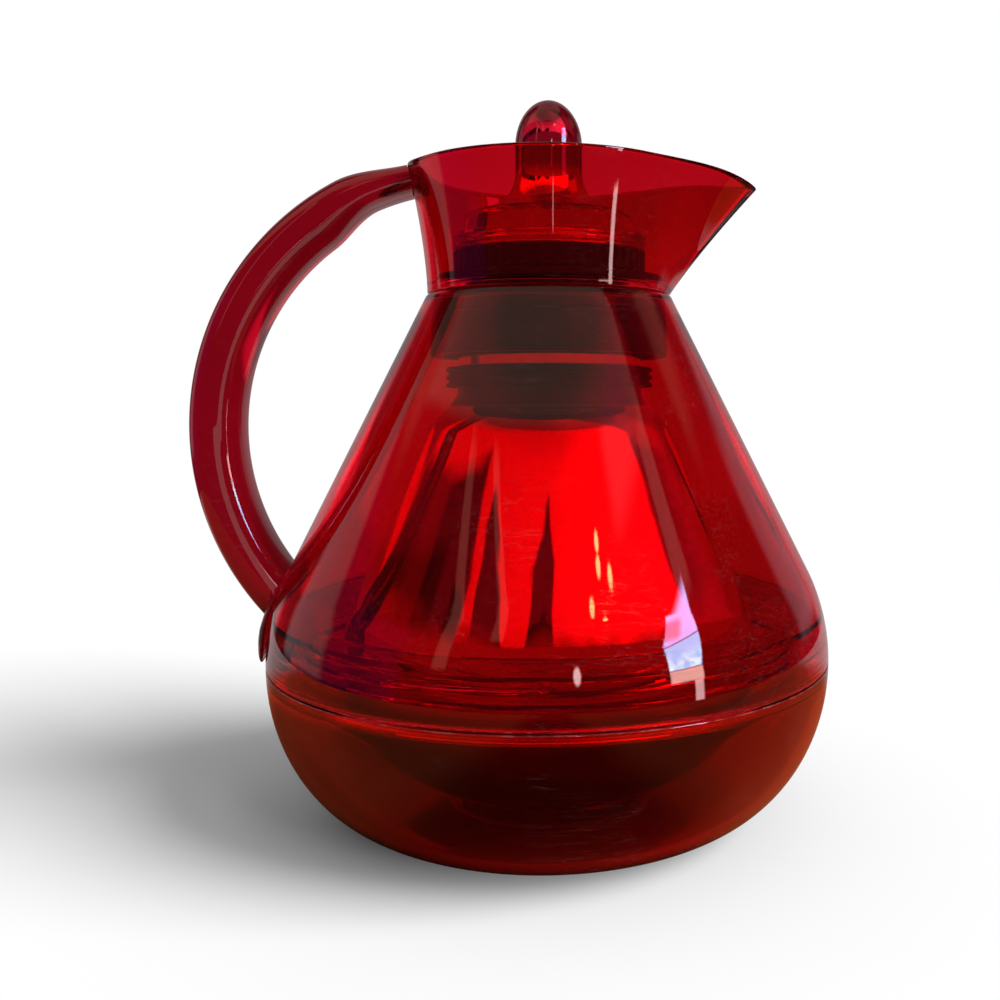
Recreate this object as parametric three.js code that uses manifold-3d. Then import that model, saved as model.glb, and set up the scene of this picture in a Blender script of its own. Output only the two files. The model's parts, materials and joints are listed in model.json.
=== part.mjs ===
// Thermal carafe: a clear casing and bowl around a silvered glass flask, with a pouring collar,
// a loop handle and a plug stopper.
// Millimetres, +Z up. The origin is on the axis, on the flat underside of the bowl.
// +X points to the spout and -X to the handle.
import * as THREE from 'three';
import { mergeVertices } from 'three/addons/utils/BufferGeometryUtils.js';
import Module from 'manifold-3d';

const wasm = await Module();
wasm.setup();

// Fits
const SEAT_GAP = 0.3; // between pieces that rest on each other
const SLIDE_GAP = 0.4; // around pieces that slide or turn in each other

// Casing and bowl
const SEAM_RADIUS = 82.5; // widest radius, where the casing meets the bowl
const SEAM_HEIGHT = 47;
const SEAM_GAP = 0.5; // dark line between the casing and the bowl
const HIP_RADIUS = 56; // rounding of the casing above the seam
const NECK_RADIUS = 35.8; // top of the cone
const NECK_HEIGHT = 152.6;
const NECK_ROUND = 1.4; // rounding of the cone's top edge
const NECK_FLANGE = 2.6; // thickness of the inward flange at the top of the cone
const CASING_WALL = 2.6;
const FOOT_RADIUS = 45; // flat disc that the carafe stands on
const BOWL_WALL = 2.8;

// Screw thread between the casing and the bowl
const THREAD_PITCH = 3.1;
const THREAD_TURNS = 3;
const THREAD_DEPTH = 1.4;
const THREAD_ROOT_WIDTH = 1.3;
const THREAD_CREST_WIDTH = 0.7;
const THREAD_SINK = 0.5; // how far a ridge's root reaches into its wall
const THREAD_START = 2.2; // lowest ridge above the seam
const SPIGOT_HEIGHT = 13.5; // threaded ring of the bowl above the seam
const SPIGOT_WALL = 2.4;
const LUG_COUNT = 3; // short thread lugs inside the casing
const LUG_SWEEP = 30; // degrees
const LUG_TURN = 1.5; // turns above the lowest ridge

// Pouring collar
const COLLAR_RADIUS = 35.6; // foot of the collar
const COLLAR_WALL = 2.4;
const COLLAR_FLOOR = 2.4;
const COLLAR_SKIRT = 16; // tube below the floor that the nut grips
const RIM_RADIUS = 41;
const RIM_HEIGHT = 188.5; // along the sides
const RIM_LEVEL = 28; // from the axis to where the rim leaves that height
const RIM_HANDLE_RISE = 1.6; // up to the handle
const RIM_SPOUT_DROP = 4; // down to the spout's tip
const RIM_BOW = 4; // power of the rise and the drop
const SPOUT_REACH = 61.7; // from the axis to the tip
const SPOUT_TIP_ROUND = 3; // degrees of direction over which the tip is rounded
const FLARE_POWER = 1.6; // how late the back of the collar flares

// Neck ring stack
const NECK_CLEARANCE = 1.2; // between the flask's neck and the collar's skirt
const NUT_LENGTH = 14.4;
const NUT_WALL = 3.8;
const GASKET_THICKNESS = 2.8;
const SEAT_RING_THICKNESS = 2.4;
const SEAT_RING_WALL = 1.6; // sleeve that lines the hole in the collar's floor
const SHOULDER_RING_WALL = 3;
const SHOULDER_RING_LENGTH = 5.6;
const SHOULDER_RIBS = 3;
const SHOULDER_RIB_DEPTH = 0.8;

// Flask
const FLASK_RADIUS = 62; // widest radius of the outer bulb
const FLASK_HIP_HEIGHT = 44;
const FLASK_HIP_RADIUS = 44;
const FLASK_BASE_RADIUS = 20; // where the round of its bottom ends
const FLASK_NECK_RADIUS = 27.2;
const FLASK_SHOULDER_RADIUS = 38;
const FLASK_SHOULDER_DROP = 17.7; // from the start of the neck down to the end of the cone
const FLASK_NECK_LENGTH = 22; // below the lip
const FLASK_WALL = 1.5;
const VACUUM_GAP = 2.2;
const LIP_THICKNESS = 1.5;
const TIP_RADIUS = 3; // sealed glass tip under the outer bulb
const TIP_LENGTH = 4;
const SPACER_COUNT = 3;
const SPACER_RADIUS = 3.5;
const SPACER_HEIGHT = 84;

// Rubber cup under the flask
const CUP_RADIUS = 28.5;
const CUP_THICKNESS = 5.5; // under the flask
const CUP_RING_WALL = 2; // ring on the bowl's floor that holds the cup
const CUP_RING_HEIGHT = 5;

// Handle
const HANDLE_DROP = 4.8; // joint with the collar, below the rim
const HANDLE_FOOT_RISE = 18; // joint with the casing, above the seam
const HANDLE_BULGE = 35.5; // from the chord between the joints to the middle of the arc
const HANDLE_HALF_THICKNESS = 7.7;
const HANDLE_HALF_WIDTH = 10;
const HANDLE_ROOT_OUTER = 4.7; // half thickness at the collar, above and below the arc
const HANDLE_ROOT_INNER = 4;
const HANDLE_ROOT_TAPER = 0.13; // share of the arc over which the outside thickens
const FINGER_STEP_START = 0.08; // share of the arc where the step for the finger starts
const FINGER_STEP_LENGTH = 0.12;
const HANDLE_SQUARENESS = 2.5; // power of the section's outline, 2 is an ellipse
const HANDLE_RUN_IN_TOP = 0.03; // share of the arc that runs on into the collar before the cut
const HANDLE_RUN_IN_FOOT = 0.1; // and into the casing
const TONGUE_THICKNESS = 2.8;
const TONGUE_EDGE = 1.2; // thickness at the lower end
const TONGUE_TOP_HALF_WIDTH = 9;
const TONGUE_FOOT_HALF_WIDTH = 22;
const TONGUE_ROUND = 16; // height of the rounded lower end
const TONGUE_CORNER = 6; // rounding of the lower corners
const TONGUE_OVERLAP = 6; // how far the tongue runs up into the handle
const TONGUE_CLEARANCE = 0.6; // above the seam gap

// Stopper
const DOME_RADIUS = 28.1;
const DOME_SKIRT = 2.4; // straight edge at the foot of the dome
const DOME_STEP = 0.7; // ledge above the skirt
const DOME_SHOULDER_RADIUS = 17.5;
const DOME_SHOULDER_RISE = 13.3; // above the dome's foot
const DOME_SWELL = 1.5; // how far the curves of the dome bow out
const KNOB_RADIUS = 9.8;
const KNOB_NECK_RISE = 21; // above the dome's foot
const KNOB_TOP_RISE = 41; // above the dome's foot
const KNOB_ROUND = 13.4; // height of the knob's rounded top
const CAP_WALL = 2.2;
const DISC_THICKNESS = 5.1;
const DISC_RIBS = 48;
const DISC_RIB_DEPTH = 0.5;
const DISC_REGISTER = 0.9; // raised middle that centres the cap
const PLUG_RADIUS = 20.5;
const PLUG_WALL = 2;
const PLUG_NECK = 2.3; // waist between the flange and the disc
const PLUG_FLANGE_RADIUS = 24.5;
const PLUG_FLANGE = 2;
const PLUG_LENGTH = 22; // below the flange
const PLUG_BOSS_RADIUS = 10;
const PLUG_LID = 2; // closing lid at the lower end
const PLUG_LID_SPIGOT = 3;
const SEAL_HEIGHT = 3;
const SEAL_GROOVE = 1; // depth of the groove that holds the seal
const SEAL_DROP = 12; // below the flange

// Facets
const OUTER_FACETS = 48;
const INNER_FACETS = 32;
const SMALL_FACETS = 24;
const THREAD_FACETS = 36;
const CURVE_STEPS = 6;
const FLASK_STEPS = 3;
const SECTION_POINTS = 16;
const HANDLE_STEPS = 26;
const COLLAR_ROWS = 4;
const WELD = 1e-4;

const radians = THREE.MathUtils.degToRad;
const smooth = (t) => THREE.MathUtils.smoothstep(t, 0, 1);
const point = (r, z) => new THREE.Vector2(r, z);

// A closed three.js geometry as a solid that can be joined and cut, with its faces pointing out.
function solid(geometry) {
  const bare = geometry.clone();
  bare.deleteAttribute('normal');
  bare.deleteAttribute('uv');
  const welded = mergeVertices(bare, WELD);
  const places = welded.attributes.position;
  const corners = welded.index.array;
  const [a, b, c] = [new THREE.Vector3(), new THREE.Vector3(), new THREE.Vector3()];
  const triangles = [];
  let volume = 0;
  for (let i = 0; i < corners.length; i += 3) {
    const [p, q, s] = corners.slice(i, i + 3);
    if (p === q || q === s || s === p) continue;
    triangles.push([p, q, s]);
    a.fromBufferAttribute(places, p);
    b.fromBufferAttribute(places, q);
    c.fromBufferAttribute(places, s);
    volume += a.dot(b.cross(c));
  }
  const facing = volume > 0 ? triangles : triangles.map(([p, q, s]) => [p, s, q]);
  return new wasm.Manifold(new wasm.Mesh({
    numProp: 3,
    vertProperties: new Float32Array(places.array),
    triVerts: new Uint32Array(facing.flat()),
  }));
}

// A solid of revolution about Z from a profile of (radius, height) points.
// The profile runs from axis to axis, or is closed here.
function turned(profile, facets) {
  const first = profile[0];
  const last = profile[profile.length - 1];
  const closed = first.x === 0 && last.x === 0 ? profile : [...profile, first];
  return solid(new THREE.LatheGeometry(closed, facets).rotateX(Math.PI / 2));
}

// A plain ring or tube.
function ring(inner, outer, low, high, facets) {
  return turned([point(inner, low), point(outer, low), point(outer, high), point(inner, high)], facets);
}

// A plain disc.
function disc(radius, low, high, facets) {
  return turned([point(0, low), point(radius, low), point(radius, high), point(0, high)], facets);
}

// A skin through rings of points, closed at both ends. Each ring is convex.
function loft(rings) {
  const count = rings[0].length;
  const places = rings.flat().flatMap((p) => [p.x, p.y, p.z]);
  const corners = [];
  for (let row = 0; row + 1 < rings.length; row += 1) {
    for (let i = 0; i < count; i += 1) {
      const here = row * count + i;
      const next = row * count + ((i + 1) % count);
      corners.push(here, next, here + count, next, next + count, here + count);
    }
  }
  const top = (rings.length - 1) * count;
  for (let i = 1; i + 1 < count; i += 1) {
    corners.push(0, i + 1, i, top, top + i, top + i + 1);
  }
  const geometry = new THREE.BufferGeometry();
  geometry.setAttribute('position', new THREE.Float32BufferAttribute(places, 3));
  geometry.setIndex(corners);
  return solid(geometry);
}

// A profile moved sideways by a distance: to the left of its run if positive.
function offset(profile, distance) {
  return profile.map((here, i) => {
    const before = profile[Math.max(i - 1, 0)];
    const after = profile[Math.min(i + 1, profile.length - 1)];
    const one = here.clone().sub(before).normalize();
    const two = after.clone().sub(here).normalize();
    const run = one.clone().add(two).normalize();
    const atEnd = i === 0 || i + 1 === profile.length;
    const bend = atEnd ? 1 : Math.sqrt((1 + Math.min(1, one.dot(two))) / 2);
    return point(here.x - (run.y * distance) / bend, here.y + (run.x * distance) / bend);
  });
}

// The point where a straight line from an outside point touches a circle, on its far side from the axis.
function touch(outside, centre, radius) {
  const way = outside.clone().sub(centre);
  const lean = Math.acos(radius / way.length());
  const angle = Math.atan2(way.y, way.x) - lean;
  return { angle, place: point(centre.x + radius * Math.cos(angle), centre.y + radius * Math.sin(angle)) };
}

// Heights and radii that follow from the driving dimensions.
const collarBase = NECK_HEIGHT + SEAT_GAP;
const floorTop = collarBase + COLLAR_FLOOR;
const gasketTop = collarBase - SEAT_GAP;
const gasketLow = gasketTop - GASKET_THICKNESS;
const lipTop = gasketLow - SEAT_GAP;
const lipLow = lipTop - LIP_THICKNESS;
const flaskNeckLow = lipLow - FLASK_NECK_LENGTH;
const cupLow = BOWL_WALL + SEAT_GAP;
const flaskBase = cupLow + CUP_THICKNESS + SEAT_GAP;
const flaskMouth = FLASK_NECK_RADIUS - 2 * FLASK_WALL - VACUUM_GAP;
const sealRadius = flaskMouth - SEAT_GAP;
const mouthBore = sealRadius + SLIDE_GAP;
const collarBore = mouthBore + SEAT_RING_WALL + SEAT_GAP;
const skirtInner = FLASK_NECK_RADIUS + NECK_CLEARANCE;
const skirtOuter = skirtInner + COLLAR_WALL;
const nutInner = skirtOuter + SLIDE_GAP;
const nutOuter = nutInner + NUT_WALL;
const nutTop = NECK_HEIGHT - NECK_FLANGE - SEAT_GAP;
const seatLow = floorTop + SEAT_GAP;
const seatTop = seatLow + SEAT_RING_THICKNESS;
const flangeLow = seatTop + SEAT_GAP;
const flangeTop = flangeLow + PLUG_FLANGE;
const plugTop = flangeTop + PLUG_NECK;
const plugLow = flangeLow - PLUG_LENGTH;
const cavityTop = plugTop - PLUG_WALL;
const cavityRadius = PLUG_RADIUS - PLUG_WALL;
const grooveTop = flangeLow - SEAL_DROP;
const grooveLow = grooveTop - SEAL_HEIGHT - 2 * SEAT_GAP;
const discLow = plugTop + SEAT_GAP;
const discTop = discLow + DISC_THICKNESS;
const domeFoot = discTop + SEAT_GAP;
const capInner = DOME_RADIUS - CAP_WALL;

// Casing

const hipCentre = point(SEAM_RADIUS - HIP_RADIUS, SEAM_HEIGHT);
const hipTouch = touch(point(NECK_RADIUS, NECK_HEIGHT), hipCentre, HIP_RADIUS);

// Radius of the casing at a height, its wall taken off by the inset.
function casingRadius(height, inset = 0) {
  const round = HIP_RADIUS - inset;
  const rise = height - SEAM_HEIGHT;
  const { angle } = hipTouch;
  if (rise < round * Math.sin(angle)) return hipCentre.x + Math.sqrt(round * round - rise * rise);
  const along = (rise - round * Math.sin(angle)) / Math.cos(angle);
  return hipCentre.x + round * Math.cos(angle) - along * Math.sin(angle);
}

const spigotTop = SEAM_HEIGHT + SPIGOT_HEIGHT;
const skirtBore = casingRadius(spigotTop + SLIDE_GAP, CASING_WALL);
const threadCrest = skirtBore - SLIDE_GAP;
const threadRoot = threadCrest - THREAD_DEPTH;
const spigotInner = threadRoot - SPIGOT_WALL;
const ringInner = CUP_RADIUS + SLIDE_GAP;
const ringOuter = ringInner + CUP_RING_WALL;

// A stretch of screw ridge with a tapered section, its root sunk into the wall that carries it.
function threadRidge(root, crest, low, turns) {
  const sunk = root + (root < crest ? -THREAD_SINK : THREAD_SINK);
  const rings = [];
  const steps = Math.ceil(turns * THREAD_FACETS);
  for (let i = 0; i <= steps; i += 1) {
    const turn = (i / steps) * turns;
    const angle = turn * 2 * Math.PI;
    const middle = low + turn * THREAD_PITCH;
    const place = (r, rise) => new THREE.Vector3(r * Math.cos(angle), r * Math.sin(angle), middle + rise);
    rings.push([
      place(sunk, -THREAD_ROOT_WIDTH / 2),
      place(crest, -THREAD_CREST_WIDTH / 2),
      place(crest, THREAD_CREST_WIDTH / 2),
      place(sunk, THREAD_ROOT_WIDTH / 2),
    ]);
  }
  return loft(rings);
}

const ridgeLow = SEAM_HEIGHT + THREAD_START;

function casing() {
  const flangeUnder = NECK_HEIGHT - NECK_FLANGE;
  const start = Math.asin(SEAM_GAP / HIP_RADIUS);
  const skirtRise = spigotTop + SLIDE_GAP - SEAM_HEIGHT;
  const innerRound = HIP_RADIUS - CASING_WALL;
  const edge = NECK_HEIGHT - NECK_ROUND;
  const outline = new THREE.Path();
  outline.absarc(hipCentre.x, hipCentre.y, HIP_RADIUS, start, hipTouch.angle);
  outline.lineTo(casingRadius(edge), edge);
  outline.quadraticCurveTo(NECK_RADIUS, NECK_HEIGHT, NECK_RADIUS - NECK_ROUND, NECK_HEIGHT);
  outline.lineTo(nutInner, NECK_HEIGHT);
  outline.lineTo(nutInner, flangeUnder);
  outline.lineTo(casingRadius(flangeUnder, CASING_WALL), flangeUnder);
  const skirtAngle = Math.asin(skirtRise / innerRound);
  outline.absarc(hipCentre.x, hipCentre.y, innerRound, hipTouch.angle, skirtAngle, true);
  outline.lineTo(skirtBore, SEAM_HEIGHT + SEAM_GAP);
  let body = turned(outline.getPoints(CURVE_STEPS / 2), OUTER_FACETS);
  const sweep = LUG_SWEEP / 360;
  for (let i = 0; i < LUG_COUNT; i += 1) {
    const turn = i / LUG_COUNT;
    const low = ridgeLow + (LUG_TURN + turn) * THREAD_PITCH;
    const lug = threadRidge(skirtBore, threadRoot + SLIDE_GAP, low, sweep);
    body = body.add(lug.rotate([0, 0, turn * 360]));
  }
  return body;
}

// Bowl

function baseBowl() {
  const outline = new THREE.Path();
  outline.moveTo(0, 0);
  outline.lineTo(FOOT_RADIUS, 0);
  const reach = SEAM_RADIUS - FOOT_RADIUS;
  outline.absellipse(FOOT_RADIUS, SEAM_HEIGHT, reach, SEAM_HEIGHT, -Math.PI / 2, 0);
  const outside = outline.getPoints(CURVE_STEPS / 2);
  const ledge = SEAM_HEIGHT - BOWL_WALL;
  const inside = offset(outside, BOWL_WALL).filter((p) => p.x > ringOuter && p.y < ledge - BOWL_WALL);
  const cupRing = [
    point(ringOuter, BOWL_WALL),
    point(ringOuter, BOWL_WALL + CUP_RING_HEIGHT),
    point(ringInner, BOWL_WALL + CUP_RING_HEIGHT),
    point(ringInner, BOWL_WALL),
    point(0, BOWL_WALL),
  ];
  const shoulder = [
    point(threadRoot, SEAM_HEIGHT),
    point(threadRoot, spigotTop),
    point(spigotInner, spigotTop),
    point(spigotInner, ledge),
    point(SEAM_RADIUS - BOWL_WALL, ledge),
  ];
  const body = turned([...outside, ...shoulder, ...inside.reverse(), ...cupRing], OUTER_FACETS);
  return body.add(threadRidge(threadRoot, threadCrest, ridgeLow, THREAD_TURNS));
}

// Pouring collar

const spoutTangent = radians(SPOUT_TIP_ROUND) + Math.acos(RIM_RADIUS / SPOUT_REACH);

// Height of the rim over a place along X: level along the sides, up to the handle, down to the spout.
function rimHeight(x) {
  const toHandle = Math.max(0, (-x - RIM_LEVEL) / (RIM_RADIUS - RIM_LEVEL));
  const toSpout = Math.max(0, (x - RIM_LEVEL) / (SPOUT_REACH - RIM_LEVEL));
  return RIM_HEIGHT + RIM_HANDLE_RISE * toHandle ** RIM_BOW - RIM_SPOUT_DROP * toSpout ** RIM_BOW;
}

// Reach of the rim in a direction: a circle with two straight sides that meet in a rounded tip.
function rimReach(direction, inset) {
  const turn = Math.hypot(direction, radians(SPOUT_TIP_ROUND));
  const circle = RIM_RADIUS - inset;
  return turn < spoutTangent ? circle / Math.cos(spoutTangent - turn) : circle;
}

// Reach of the collar's wall in a direction, at a share of the way up from its foot to the rim.
function collarReach(direction, share, inset) {
  const flare = (RIM_RADIUS - COLLAR_RADIUS) * share ** FLARE_POWER;
  const spout = (rimReach(direction, inset) - RIM_RADIUS + inset) * share;
  return COLLAR_RADIUS - inset + flare + spout;
}

// The collar's form filled solid, between two heights above its foot given as shares of the way to the rim.
function collarBlock(inset, low, high) {
  const rings = [];
  for (let row = 0; row <= COLLAR_ROWS; row += 1) {
    const share = low + ((high - low) * row) / COLLAR_ROWS;
    const places = [];
    for (let i = 0; i < OUTER_FACETS; i += 1) {
      const direction = (i / OUTER_FACETS) * 2 * Math.PI;
      const side = direction > Math.PI ? direction - 2 * Math.PI : direction;
      const reach = collarReach(side, share, inset);
      const rim = rimHeight(rimReach(side, 0) * Math.cos(side));
      const height = collarBase + (rim - collarBase) * share;
      places.push(new THREE.Vector3(reach * Math.cos(side), reach * Math.sin(side), height));
    }
    rings.push(places);
  }
  return loft(rings);
}

function pouringCollar() {
  const floorShare = COLLAR_FLOOR / (RIM_HEIGHT - collarBase);
  const skirtLow = collarBase - COLLAR_SKIRT;
  const funnel = collarBlock(COLLAR_WALL, floorShare, 1 + floorShare);
  const shell = collarBlock(0, 0, 1).subtract(funnel);
  const skirt = ring(skirtInner, skirtOuter, skirtLow, collarBase + COLLAR_FLOOR / 2, OUTER_FACETS);
  const hole = disc(collarBore, collarBase - COLLAR_FLOOR, floorTop + COLLAR_FLOOR, OUTER_FACETS);
  return shell.add(skirt).subtract(hole);
}

// Handle

const jointHeight = rimHeight(-RIM_RADIUS) - HANDLE_DROP;
const jointShare = (jointHeight - collarBase) / (rimHeight(-RIM_RADIUS) - collarBase);
const handleTop = point(-collarReach(Math.PI, jointShare, 0), jointHeight);
const handleFootHeight = SEAM_HEIGHT + HANDLE_FOOT_RISE;
const handleFoot = point(-casingRadius(handleFootHeight), handleFootHeight);

// Half thickness of the handle outside or inside its arc, at a share of the way down.
const outerHalf = (share) =>
  THREE.MathUtils.lerp(HANDLE_ROOT_OUTER, HANDLE_HALF_THICKNESS, smooth(share / HANDLE_ROOT_TAPER));
const innerHalf = (share) => THREE.MathUtils.lerp(
  HANDLE_ROOT_INNER,
  HANDLE_HALF_THICKNESS,
  smooth((share - FINGER_STEP_START) / FINGER_STEP_LENGTH),
);

// A point of the section's outline on one axis, rounder or squarer by its power.
const bulge = (value) => Math.sign(value) * Math.abs(value) ** (2 / HANDLE_SQUARENESS);

// The grip: a rounded section along an arc from the collar to the casing.
function handleGrip() {
  const chord = handleFoot.clone().sub(handleTop);
  const half = chord.length() / 2;
  const radius = (half * half + HANDLE_BULGE * HANDLE_BULGE) / (2 * HANDLE_BULGE);
  const away = point(chord.y, -chord.x).normalize();
  const middle = handleTop.clone().add(handleFoot).multiplyScalar(0.5);
  const centre = middle.addScaledVector(away, HANDLE_BULGE - radius);
  const from = Math.atan2(handleTop.y - centre.y, handleTop.x - centre.x);
  const sweep = 2 * Math.asin(half / radius);
  const rings = [];
  for (let step = 0; step <= HANDLE_STEPS; step += 1) {
    const share = THREE.MathUtils.lerp(-HANDLE_RUN_IN_TOP, 1 + HANDLE_RUN_IN_FOOT, step / HANDLE_STEPS);
    const angle = from + sweep * share;
    const places = [];
    for (let i = 0; i < SECTION_POINTS; i += 1) {
      const turn = (i / SECTION_POINTS) * 2 * Math.PI;
      const across = bulge(Math.cos(turn));
      const reach = radius + across * (across > 0 ? outerHalf(share) : innerHalf(share));
      const side = bulge(Math.sin(turn)) * HANDLE_HALF_WIDTH;
      const x = centre.x + reach * Math.cos(angle);
      const z = centre.y + reach * Math.sin(angle);
      places.push(new THREE.Vector3(x, side, z));
    }
    rings.push(places);
  }
  return loft(rings);
}

// The tongue: a flared pad at the handle's foot that lies on the casing down to the seam.
function handleTongue() {
  const low = SEAM_HEIGHT + SEAM_GAP + TONGUE_CLEARANCE;
  const high = handleFootHeight + TONGUE_OVERLAP;
  const outside = [];
  const inside = [];
  for (let i = 0; i <= CURVE_STEPS; i += 1) {
    const height = THREE.MathUtils.lerp(low, high, i / CURVE_STEPS);
    const fade = Math.min(1, (height - low) / TONGUE_ROUND);
    const thickness = THREE.MathUtils.lerp(TONGUE_EDGE, TONGUE_THICKNESS, Math.sqrt(fade * (2 - fade)));
    outside.push(point(casingRadius(height) + SEAT_GAP + thickness, height));
    inside.push(point(casingRadius(height) - CASING_WALL, height));
  }
  const pad = turned([...outside, ...inside.reverse()], OUTER_FACETS);
  const outline = new THREE.Shape();
  outline.moveTo(-TONGUE_TOP_HALF_WIDTH, high);
  const corner = low + TONGUE_CORNER;
  const straight = TONGUE_FOOT_HALF_WIDTH - TONGUE_CORNER;
  outline.quadraticCurveTo(-TONGUE_TOP_HALF_WIDTH, handleFootHeight, -TONGUE_FOOT_HALF_WIDTH, corner);
  outline.quadraticCurveTo(-TONGUE_FOOT_HALF_WIDTH, low, -straight, low);
  outline.lineTo(straight, low);
  outline.quadraticCurveTo(TONGUE_FOOT_HALF_WIDTH, low, TONGUE_FOOT_HALF_WIDTH, corner);
  outline.quadraticCurveTo(TONGUE_TOP_HALF_WIDTH, handleFootHeight, TONGUE_TOP_HALF_WIDTH, high);
  const depth = SEAM_RADIUS + 2 * TONGUE_THICKNESS;
  const settings = { depth, bevelEnabled: false, curveSegments: CURVE_STEPS };
  const block = new THREE.ExtrudeGeometry(outline, settings);
  block.rotateX(Math.PI / 2).rotateZ(-Math.PI / 2);
  return pad.intersect(solid(block));
}

function handle() {
  const low = SEAM_HEIGHT - SPIGOT_HEIGHT;
  const wall = [];
  for (let i = 0; i <= 2 * CURVE_STEPS; i += 1) {
    const height = THREE.MathUtils.lerp(SEAM_HEIGHT, NECK_HEIGHT, i / (2 * CURVE_STEPS));
    wall.push(point(casingRadius(height) + SEAT_GAP, height));
  }
  const body = turned([
    point(0, low), point(SEAM_RADIUS + SEAT_GAP, low), ...wall, point(0, NECK_HEIGHT),
  ], OUTER_FACETS);
  const collar = collarBlock(-SEAT_GAP, 0, 1 + 1 / COLLAR_ROWS);
  return handleGrip().add(handleTongue()).subtract(body).subtract(collar);
}

// Rings around the flask's mouth

function neckNut() {
  const low = nutTop - NUT_LENGTH;
  const topRadius = Math.min(nutOuter, casingRadius(nutTop, CASING_WALL) - SEAT_GAP);
  const slope = Math.tan(hipTouch.angle);
  const chamfer = Math.min(NUT_LENGTH / 2, (nutOuter - topRadius) / slope);
  return turned([
    point(nutInner, low),
    point(nutOuter, low),
    point(nutOuter, nutTop - chamfer),
    point(topRadius, nutTop),
    point(nutInner, nutTop),
  ], OUTER_FACETS);
}

function mouthGasket() {
  return ring(mouthBore, skirtInner - SEAT_GAP, gasketLow, gasketTop, INNER_FACETS);
}

function stopperSeat() {
  const outer = COLLAR_RADIUS - COLLAR_WALL - SLIDE_GAP;
  return turned([
    point(mouthBore, collarBase),
    point(collarBore - SEAT_GAP, collarBase),
    point(collarBore - SEAT_GAP, seatLow),
    point(outer, seatLow),
    point(outer, seatTop),
    point(mouthBore, seatTop),
  ], INNER_FACETS);
}

function shoulderRing() {
  const inner = FLASK_NECK_RADIUS + SEAT_GAP;
  const outer = inner + SHOULDER_RING_WALL;
  const low = flaskNeckLow + SEAT_GAP;
  const rib = SHOULDER_RING_LENGTH / (2 * SHOULDER_RIBS - 1);
  const profile = [point(inner, low)];
  for (let i = 0; i < 2 * SHOULDER_RIBS - 1; i += 1) {
    const radius = outer - (i % 2) * SHOULDER_RIB_DEPTH;
    profile.push(point(radius, low + i * rib), point(radius, low + (i + 1) * rib));
  }
  profile.push(point(inner, low + SHOULDER_RING_LENGTH));
  return turned(profile, SMALL_FACETS);
}

// Flask

const flaskHip = point(FLASK_RADIUS - FLASK_HIP_RADIUS, FLASK_HIP_HEIGHT);
const flaskShoulder = point(FLASK_SHOULDER_RADIUS, flaskNeckLow - FLASK_SHOULDER_DROP);
const flaskTouch = touch(flaskShoulder, flaskHip, FLASK_HIP_RADIUS);

// Outside of the outer bulb, from the axis up to a height on the neck.
function flaskProfile(top) {
  const outline = new THREE.Path();
  const reach = FLASK_RADIUS - FLASK_BASE_RADIUS;
  const rise = FLASK_HIP_HEIGHT - flaskBase;
  const bend = FLASK_SHOULDER_DROP / 2;
  const lead = flaskShoulder.clone().sub(flaskTouch.place).setLength(bend).add(flaskShoulder);
  outline.moveTo(0, flaskBase);
  outline.lineTo(FLASK_BASE_RADIUS, flaskBase);
  outline.absellipse(FLASK_BASE_RADIUS, FLASK_HIP_HEIGHT, reach, rise, -Math.PI / 2, 0);
  outline.absarc(flaskHip.x, flaskHip.y, FLASK_HIP_RADIUS, 0, flaskTouch.angle);
  outline.lineTo(flaskShoulder.x, flaskShoulder.y);
  outline.bezierCurveTo(
    lead.x, lead.y,
    FLASK_NECK_RADIUS, flaskNeckLow - bend,
    FLASK_NECK_RADIUS, flaskNeckLow,
  );
  outline.lineTo(FLASK_NECK_RADIUS, top);
  return outline.getPoints(FLASK_STEPS);
}

function outerBulb() {
  const outside = flaskProfile(lipLow - SEAT_GAP);
  const shell = turned([...outside, ...offset(outside, FLASK_WALL).reverse()], INNER_FACETS);
  const tip = turned([
    point(0, flaskBase - TIP_LENGTH),
    point(TIP_RADIUS / 2, flaskBase - TIP_LENGTH),
    point(TIP_RADIUS, flaskBase + FLASK_WALL / 2),
    point(0, flaskBase + FLASK_WALL / 2),
  ], SMALL_FACETS);
  return shell.add(tip);
}

function innerBulb() {
  const outside = offset(flaskProfile(lipLow), FLASK_WALL + VACUUM_GAP);
  const inside = offset(flaskProfile(lipTop), 2 * FLASK_WALL + VACUUM_GAP);
  const lip = [point(FLASK_NECK_RADIUS, lipLow), point(FLASK_NECK_RADIUS, lipTop)];
  return turned([...outside, ...lip, ...inside.reverse()], INNER_FACETS);
}

// A pad that keeps the bulbs apart, square to their walls.
function spacer() {
  const along = (SPACER_HEIGHT - flaskTouch.place.y) / Math.cos(flaskTouch.angle);
  const depth = FLASK_WALL + VACUUM_GAP / 2;
  const out = point(Math.cos(flaskTouch.angle), Math.sin(flaskTouch.angle));
  const r = flaskTouch.place.x - along * Math.sin(flaskTouch.angle) - depth * out.x;
  const z = SPACER_HEIGHT - depth * out.y;
  const thickness = VACUUM_GAP - 2 * SEAT_GAP;
  const pad = new THREE.CylinderGeometry(SPACER_RADIUS, SPACER_RADIUS, thickness, SMALL_FACETS / 2);
  pad.rotateZ(-Math.PI / 2).rotateY(-flaskTouch.angle).translate(r, 0, z);
  return solid(pad);
}

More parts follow.
